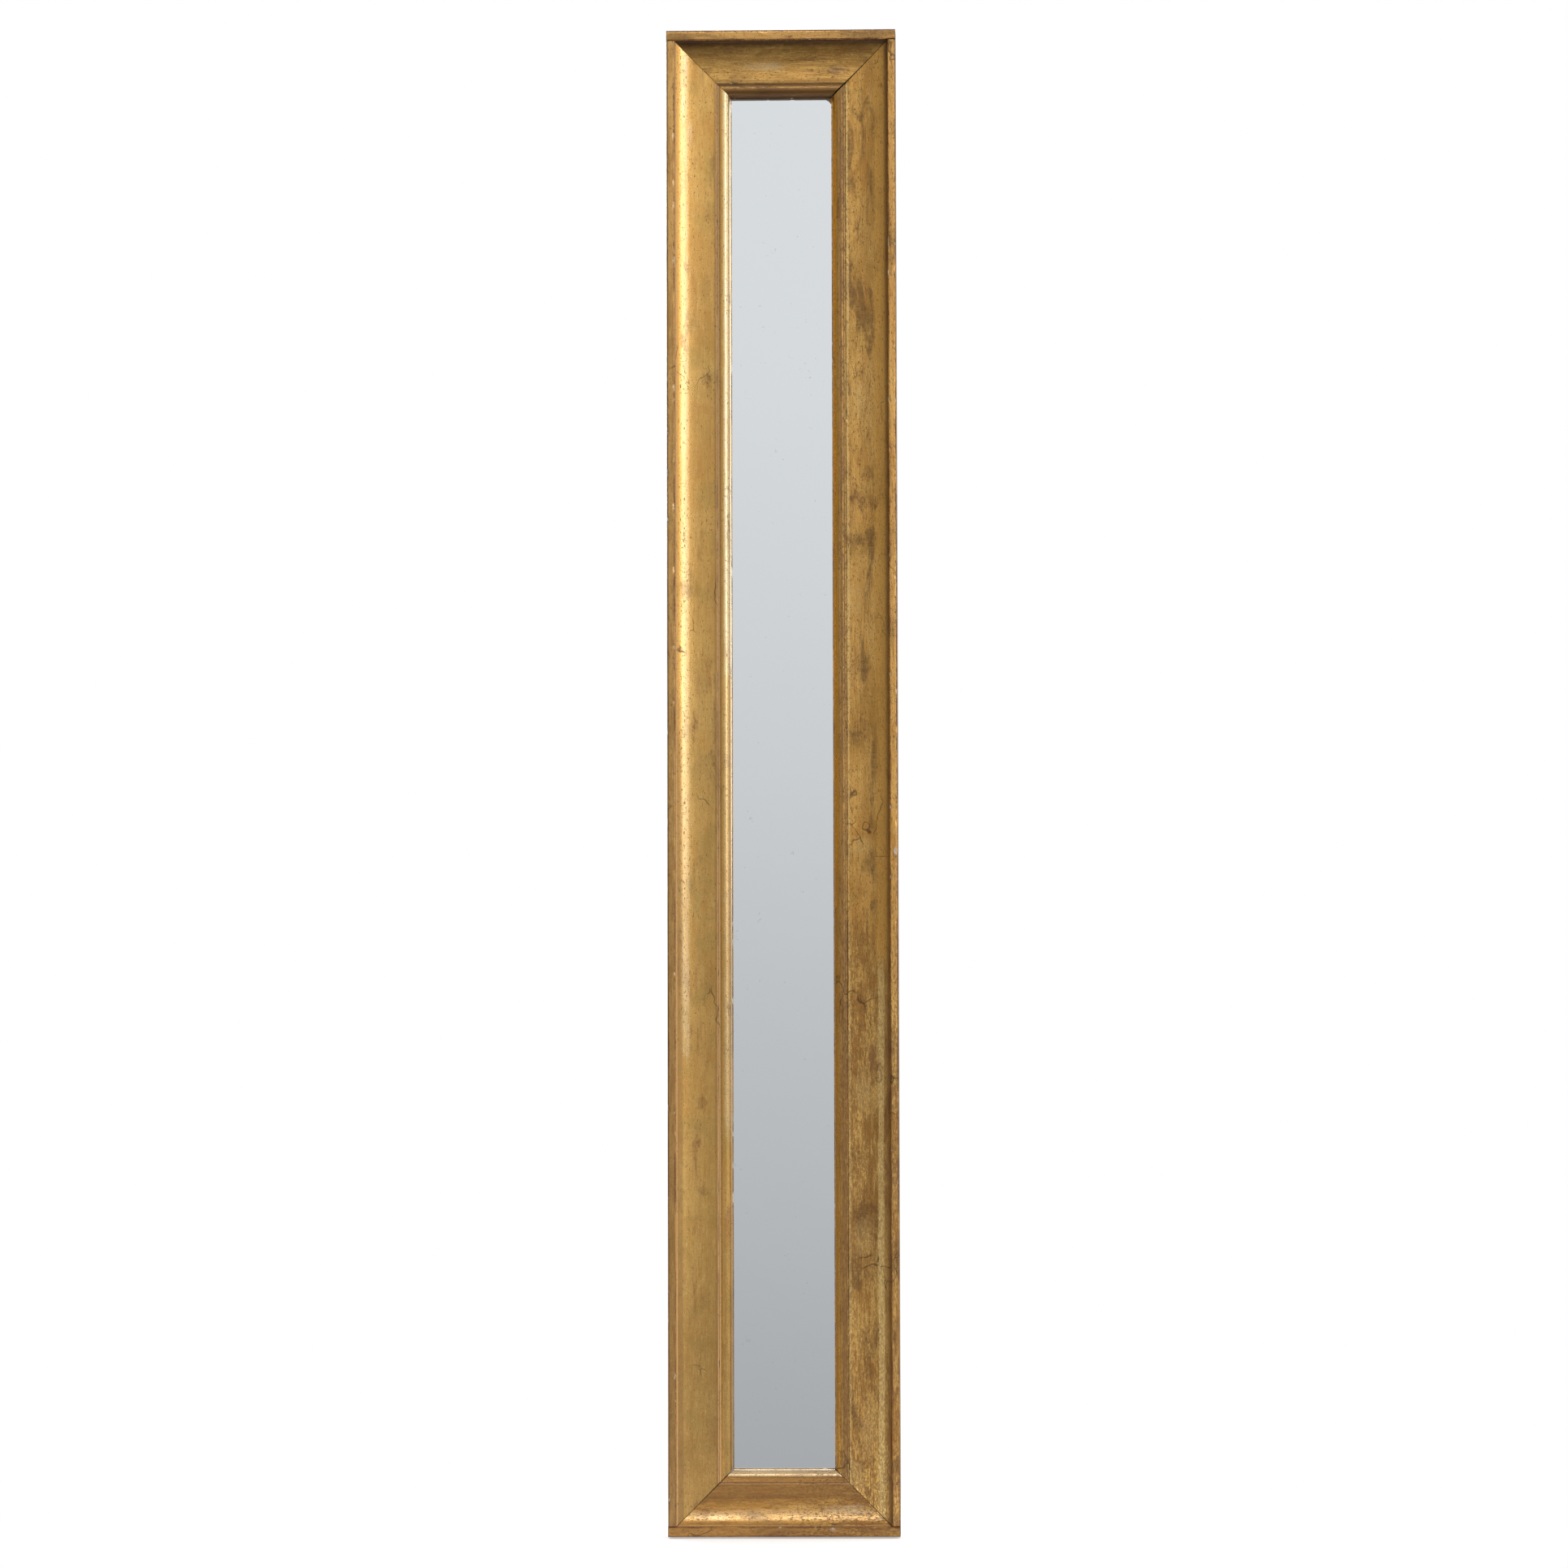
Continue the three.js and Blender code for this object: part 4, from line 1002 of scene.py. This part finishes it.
hardware = {
    # millimetres, and radians for the turns
    "stileMiddle": 106.05, "pivotHeight": 629.0, "pivotDepth": 3.8,
    "wire": 2.0, "half": 11.5, "corner": 2.6, "leg": 8.0, "wireSides": 20, "strapEase": 0.22,
    "screwHeights": (618.0, 592.0), "screwTop": 1.4, "slotTurns": (0.35, -0.9, 1.2, 0.1),
    "slotBar": (8, 1.3, 0.9),
    "nailX": 75.9, "nailTop": -0.15, "boardMiddles": (-577.0, 0.0, 577.0), "nailReach": 243.1,
    "nailTurn": 0.09, "nailHalf": (1.7, 2.75), "nailCorner": 0.45, "nailSides": 16, "bumperHeight": -848.55,
}


def fastenerTree():
    # sets a template on each point of a mesh, turned by its own angle
    kinds = {"Template": "NodeSocketObject", "Finish": "NodeSocketMaterial"}
    m, given = groupTree("fastenerSetting", kinds)
    points = m.geo("MeshToPoints", {}, {0: given["Geometry"]})
    shape = m.geo("ObjectInfo", {}, {"Object": given["Template"]}).socket.node
    turn = m.geo("InputNamedAttribute", {"data_type": "FLOAT"}, {"Name": "turn"})
    placed = m.geo("InstanceOnPoints", {}, {"Points": points, "Rotation": m.join(0, turn, 0)})
    m.plug(placed.socket.node.inputs["Instance"], Value(m, shape.outputs["Geometry"]))
    return closeTree(m, given, placed)


def setFasteners(name, tree, template, places, finish):
    # places: (x, y, z, turn) in millimetres and radians
    mesh = bpy.data.meshes.new(name + "Places")
    mesh.from_pydata([(x * mm, y * mm, z * mm) for x, y, z, _ in places], [], [])
    turns = mesh.attributes.new("turn", "FLOAT", "POINT")
    for data, place in zip(turns.data, places):
        data.value = place[3]
    holder = addObject(name + "Template", template)
    piece = growPiece(name, mesh, tree, {"Template": holder, "Finish": finish}, 30)
    bpy.data.objects.remove(holder)
    return piece


def screwTemplate():
    # countersunk head with a cut slot; the slot comes from a boolean with a thin bar
    head = [(0, 0), (1.9, -0.02), (3.0, -0.16), (3.26, -0.34), (3.28, -0.5), (2.9, -0.9), (1.6, -1.5),
            (1.55, -9), (1.0, -13.2), (0, -14.2)]
    body = addObject("screwBody", turnedMesh("screwBody", head, 48))
    work = bmesh.new()
    bmesh.ops.create_cube(work, size=1)
    bar = meshFrom(work, "slotBar")
    bar.transform(Matrix.Diagonal((*[side * mm for side in hardware["slotBar"]], 1)))
    cutter = addObject("slotBar", bar)
    cut = body.modifiers.new("slot", "BOOLEAN")
    cut.operation = "DIFFERENCE"
    cut.solver = "EXACT"
    cut.object = cutter
    mesh = evaluated(body)
    bpy.data.objects.remove(body)
    bpy.data.objects.remove(cutter)
    return mesh


def nailTemplate():
    # a cut nail: a blunt, hammered head and a square shank
    h = hardware
    count, power, (halfX, halfZ) = h["nailSides"], h["nailCorner"], h["nailHalf"]
    work = bmesh.new()
    rings = []
    levels = [(1.0, -1.1, 0.0), (1.0, -0.35, 0.0), (0.9, -0.10, 0.1), (0.6, -0.02, 0.3)]
    for scale, y, slack in levels:
        ring = []
        for i in range(count):
            t = 2 * math.pi * (i + 0.5) / count
            u = math.copysign(abs(math.cos(t)) ** power, math.cos(t)) * halfX * scale
            w = math.copysign(abs(math.sin(t)) ** power, math.sin(t)) * halfZ * scale
            dent = noise.noise(Vector((u, w, 3.7))) * slack * 0.35
            ring.append(work.verts.new((u * mm, (y - abs(dent)) * mm, w * mm)))
        rings.append(ring)
    bridge(work, rings)
    tip = [work.verts.new((u * mm, y * mm, w * mm)) for y, r in ((-1.0, 1.0), (-13.6, 0.55))
           for u, w in ((-r, -r), (r, -r), (r, r), (-r, r))]
    ends = [rings[0], rings[-1], tip[:4], tip[4:]]
    for end in ends[:2]:
        work.faces.new(end)
    bridge(work, ends[2:])
    for end in ends[2:]:
        work.faces.new(end)
    bmesh.ops.recalc_face_normals(work, faces=work.faces)
    return meshFrom(work, "nailTemplate")


def corkTemplate():
    # a slightly crushed disc of cork, pitted round its side
    outline = [(0, 0.0), (4.5, 0.02), (8.2, 0.02), (8.8, 0.25), (9.0, 0.9), (8.85, 2.5), (8.65, 4.2),
               (8.4, 5.8), (8.1, 6.9), (7.6, 7.45), (6.8, 7.6), (4.0, 7.55), (0, 7.5)]
    fine = []
    for (r1, y1), (r2, y2) in zip(outline, outline[1:]):
        steps = max(1, round(math.hypot(r2 - r1, y2 - y1) / 0.6))
        fine += [(r1 + (r2 - r1) * i / steps, y1 + (y2 - y1) * i / steps) for i in range(steps)]
    mesh = turnedMesh("corkTemplate", fine + [outline[-1]], 72)
    for v in mesh.vertices:
        radius = math.hypot(v.co.x, v.co.z)
        if radius < 1e-6 or v.co.y < 0.0001:
            continue
        pit = max(0.0, noise.noise(v.co * 900) - 0.12) * 0.9 + abs(noise.noise(v.co * 260)) * 0.22
        shrink = 1 - pit * mm / radius
        v.co.x *= shrink
        v.co.z *= shrink
        v.co.y -= pit * 0.3 * mm if v.co.y > 0.007 else 0
    return mesh


def wireTree():
    # a round wire swept along a closed path, its thickness a little uneven
    kinds = {"Wire": "NodeSocketFloat", "Sides": "NodeSocketInt", "Seed": "NodeSocketFloat",
             "Finish": "NodeSocketMaterial"}
    m, given = groupTree("ringWire", kinds)
    path = m.geo("MeshToCurve", {}, {0: given["Geometry"]})
    place = m.vector("ADD", m.geo("InputPosition"), m.join(given["Seed"]))
    thick = m.smooth(m.noise(place, 160, 2, 0.5), 0.25, 0.75, 0.93, 1.0)
    path = m.geo("SetCurveRadius", {}, {0: path, "Radius": thick})
    sockets = {"Resolution": given["Sides"], "Radius": given["Wire"]}
    sockets = {"Curve": path, "Profile Curve": m.geo("CurvePrimitiveCircle", {}, sockets),
               "Scale": thick}
    return closeTree(m, given, m.geo("CurveToMesh", {}, sockets))


def ringPath(middle):
    h = hardware
    half, corner, leg = h["half"], h["corner"], h["leg"]
    path = [(-half + corner + (2 * half - 2 * corner) * i / 12, 0) for i in range(12)]
    path += arc(half - corner, -corner, corner, corner, 90, 0, 7)
    path += line((half, -corner), (half, -leg), 5)
    path += arc(0, -leg, half, half, 0, -180, 44)
    path += line((-half, -leg), (-half, -corner), 5)
    path += arc(-half + corner, -corner, corner, corner, 180, 90, 7)[:-1]
    mesh = bpy.data.meshes.new("ringPath")
    places = [((middle + u) * mm, h["pivotDepth"] * mm, (h["pivotHeight"] + w) * mm) for u, w in path]
    edges = [(i, (i + 1) % len(path)) for i in range(len(path))]
    mesh.from_pydata(places, edges, [])
    return mesh


def makeHardware():
    h = hardware
    fasteners, wire = fastenerTree(), wireTree()
    strapIron, ringIron = iron("strapIron", 0.4), iron("ringIron", 0.0, 0.25)
    for number, (side, sign) in enumerate((("left", -1), ("right", 1))):
        node = f"hanger_strap_{side}"
        strap = easedCopy(f"hangerStrap{side.title()}", node, strapIron, h["strapEase"], 40)
        settle(strap, [node])
        values = {"Wire": h["wire"] * mm, "Sides": h["wireSides"], "Seed": 0.3 * number, "Finish": ringIron}
        ring = growPiece(f"hangingRing{side.title()}", ringPath(sign * h["stileMiddle"]), wire, values)
        settle(ring, [f"hanging_ring_{side}"], f"ring_{side}")

    places = [(sign * h["stileMiddle"], h["screwTop"], height)
              for sign in (-1, 1) for height in h["screwHeights"]]
    places = [(*place, turn) for place, turn in zip(places, h["slotTurns"])]
    screws = setFasteners("hangerScrews", fasteners, screwTemplate(), places, iron("screwIron", -0.6, 0.5))
    nodes = [f"hanger_screw_{side}_{level}" for side in ("left", "right") for level in ("upper", "lower")]
    settle(screws, nodes)

    places = [(sign * h["nailX"], h["nailTop"], middle + end * h["nailReach"], h["nailTurn"] * sign * end)
              for middle in h["boardMiddles"] for sign in (-1, 1) for end in (-1, 1)]
    nails = setFasteners("boardNails", fasteners, nailTemplate(), places, iron("nailIron", 1.0))
    nodes = [f"board_nail_{board}_{side}_{end}" for board in ("lower", "middle", "upper")
             for side in ("left", "right") for end in ("bottom", "top")]
    settle(nails, nodes)

    places = [(sign * h["stileMiddle"], 0.0, h["bumperHeight"], turn) for sign, turn in ((-1, 0.4), (1, 2.3))]
    bumpers = setFasteners("corkBumpers", fasteners, corkTemplate(), places, cork())
    settle(bumpers, ["wall_bumper_left", "wall_bumper_right"])
    print("straps, rings, screws, nails and bumpers")


corkLook = {
    "pale": (0.400, 0.240, 0.125), "brown": (0.235, 0.120, 0.055), "dark": (0.070, 0.032, 0.016),
    "stain": (0.12, 0.07, 0.04), "grain": 780, "bend": 0.0009,
}


def cork():
    look = corkLook
    m, place = newFinish("corkFinish")
    bend = m.stretch(m.noise(place, 500, 2, 0.5, 0, 1), [look["bend"]] * 3)
    bent = m.vector("ADD", place, bend)
    grain = m.parts(m.cells(bent, look["grain"], output=1))[0]
    seam = m.smooth(m.cells(bent, look["grain"], "DISTANCE_TO_EDGE"), 0.0, 0.07, 1.0, 0.0)
    specks = m.smooth(m.noise(place, 1500, 2, 0.6), 0.62, 0.70)
    stain = m.smooth(m.noise(place, 120, 3, 0.6), 0.5, 0.75) * 0.4
    colour = m.layers(look["brown"], (grain, look["pale"]), (m.most(specks, seam * 0.6), look["dark"]),
                      (stain, look["stain"]))
    return closeFinish(m, colour, 0.0, grain * 0.1 + 0.78, grain * 0.6 - specks - seam * 0.5, 0.0003, 0.9)


makeHardware()


# stage

stageLook = {
    "floorDrop": 0.002, "floorRadius": 1.15, "floorColour": (0.80, 0.80, 0.79),
    "floorPatch": (0.84, 0.84, 0.83), "floorGlow": 0.45,
    "distance": 7.5, "azimuth": 1.75, "elevation": -3.5, "roll": -0.14, "lens": 139.52,
    "aim": (0.0012, -0.02, -0.0062),
    # tone of the studio in front of the mirror: by height and by side
    "heights": [(0.0, 0.07), (0.20, 0.09), (0.33, 0.15), (0.40, 0.25), (0.45, 0.37), (0.4795, 0.447),
                (0.4933, 0.507), (0.512, 0.572), (0.5306, 0.656), (0.5447, 0.70), (0.5634, 0.755),
                (0.5868, 0.778), (0.66, 0.80), (0.8, 0.76), (1.0, 0.70)],
    "sides": [(0.0, 0.32), (0.05, 0.38), (0.20, 0.60), (0.35, 0.80), (0.45, 0.96), (0.485, 1.0),
              (0.56, 1.05), (0.72, 1.2), (0.85, 1.5), (1.0, 1.5)],
    "brightestSide": 1.5,
}


def makeWorld():
    # a grey studio in front, a white backdrop behind, and white wherever the camera looks
    world = bpy.data.worlds.new("studio")
    bpy.context.scene.world = world
    world.use_nodes = True
    world.node_tree.nodes.clear()
    m = Maker(world.node_tree)
    x, y, z = m.parts(m.shade("TexCoord", {}, {}, 0))
    height = m.ramp(stageLook["heights"], z * 0.5 + 0.5)
    highest = stageLook["brightestSide"]
    side = m.ramp([(place, value / highest) for place, value in stageLook["sides"]], x * 0.5 + 0.5)
    glow = m.background(height, side * highest)
    white = m.background((1, 1, 1, 1), 1.0)
    camera, glossy, through = m.rays()
    behind = m.most(glossy, through) * m.smooth(y, 0.05, 0.35)
    m.shade("OutputWorld", {}, {"Surface": m.mixShader(m.most(camera, behind), glow, white)})


def makeFloor():
    # a round pale floor just under the frame, shown white and darkened only by the shadow
    look = stageLook
    m, place = newFinish("paleFloor")
    x, y, _ = m.parts(place)
    colour = m.mixColour(m.noise(place, 3, 3, 0.5), look["floorColour"], look["floorPatch"])
    plain = m.shade("BsdfDiffuse", {}, {"Color": colour})
    glow = m.shade("Emission", {}, {0: (1, 1, 1, 1), 1: look["floorGlow"]})
    white = m.shade("Emission", {}, {0: (1, 1, 1, 1), 1: 1.0})
    lit = m.shade("AddShader", {}, {0: plain, 1: glow})
    radius = look["floorRadius"]
    rim = m.smooth(m.math("SQRT", x ** 2 + y ** 2), radius * 0.30, radius * 0.95)
    seen = m.mixShader(m.most(*m.rays()), plain, m.mixShader(rim, lit, white))
    m.shade("OutputMaterial", {}, {"Surface": seen})
    work = bmesh.new()
    bmesh.ops.create_circle(work, cap_ends=True, segments=96, radius=radius)
    mesh = meshFrom(work, "floor")
    mesh.transform(Matrix.Translation((0, 0, cadBox[0][2] - look["floorDrop"])))
    mesh.materials.append(m.material)
    floor = addObject("floor", mesh)


lampLook = {
    # name: place, aimed at, width, height, watts
    "rightSoftbox": ((1.62, -2.5, 0.75), (0, 0, 0.1), 1.0, 1.5, 9.5),
    "highSoftbox": ((0.6, -12.0, 6.9), (0, 0, -0.6), 4.0, 2.4, 115),
    "backCard": ((-1.2, 3.0, 1.6), (0, 0, 0), 2.2, 2.2, 60),
}


def makeLamps():
    for name, (place, target, width, height, watts) in lampLook.items():
        lamp = bpy.data.lights.new(name, "AREA")
        lamp.shape = "RECTANGLE"
        lamp.size = width
        lamp.size_y = height
        lamp.energy = watts
        holder = addObject(name, lamp)
        holder.location = place
        holder.rotation_euler = (Vector(target) - Vector(place)).to_track_quat("-Z", "Y").to_euler()


def makeCamera():
    look = stageLook
    turn, rise = math.radians(look["azimuth"]), math.radians(look["elevation"])
    back = Vector((math.sin(turn) * math.cos(rise), -math.cos(turn) * math.cos(rise), math.sin(rise)))
    camera = addObject("camera", bpy.data.cameras.new("camera"))
    camera.data.sensor_width = 36
    camera.data.lens = look["lens"]
    camera.data.clip_end = 60
    camera.location = Vector(look["aim"]) + back * look["distance"]
    aim = (-back).to_track_quat("-Z", "Y")
    camera.rotation_mode = "QUATERNION"
    camera.rotation_quaternion = aim @ Matrix.Rotation(math.radians(look["roll"]), 3, "Z").to_quaternion()
    bpy.context.scene.camera = camera


makeWorld()
makeFloor()
makeLamps()
makeCamera()
bpy.context.scene.view_settings.view_transform = "Standard"
print("stage: floor, lamps and camera")
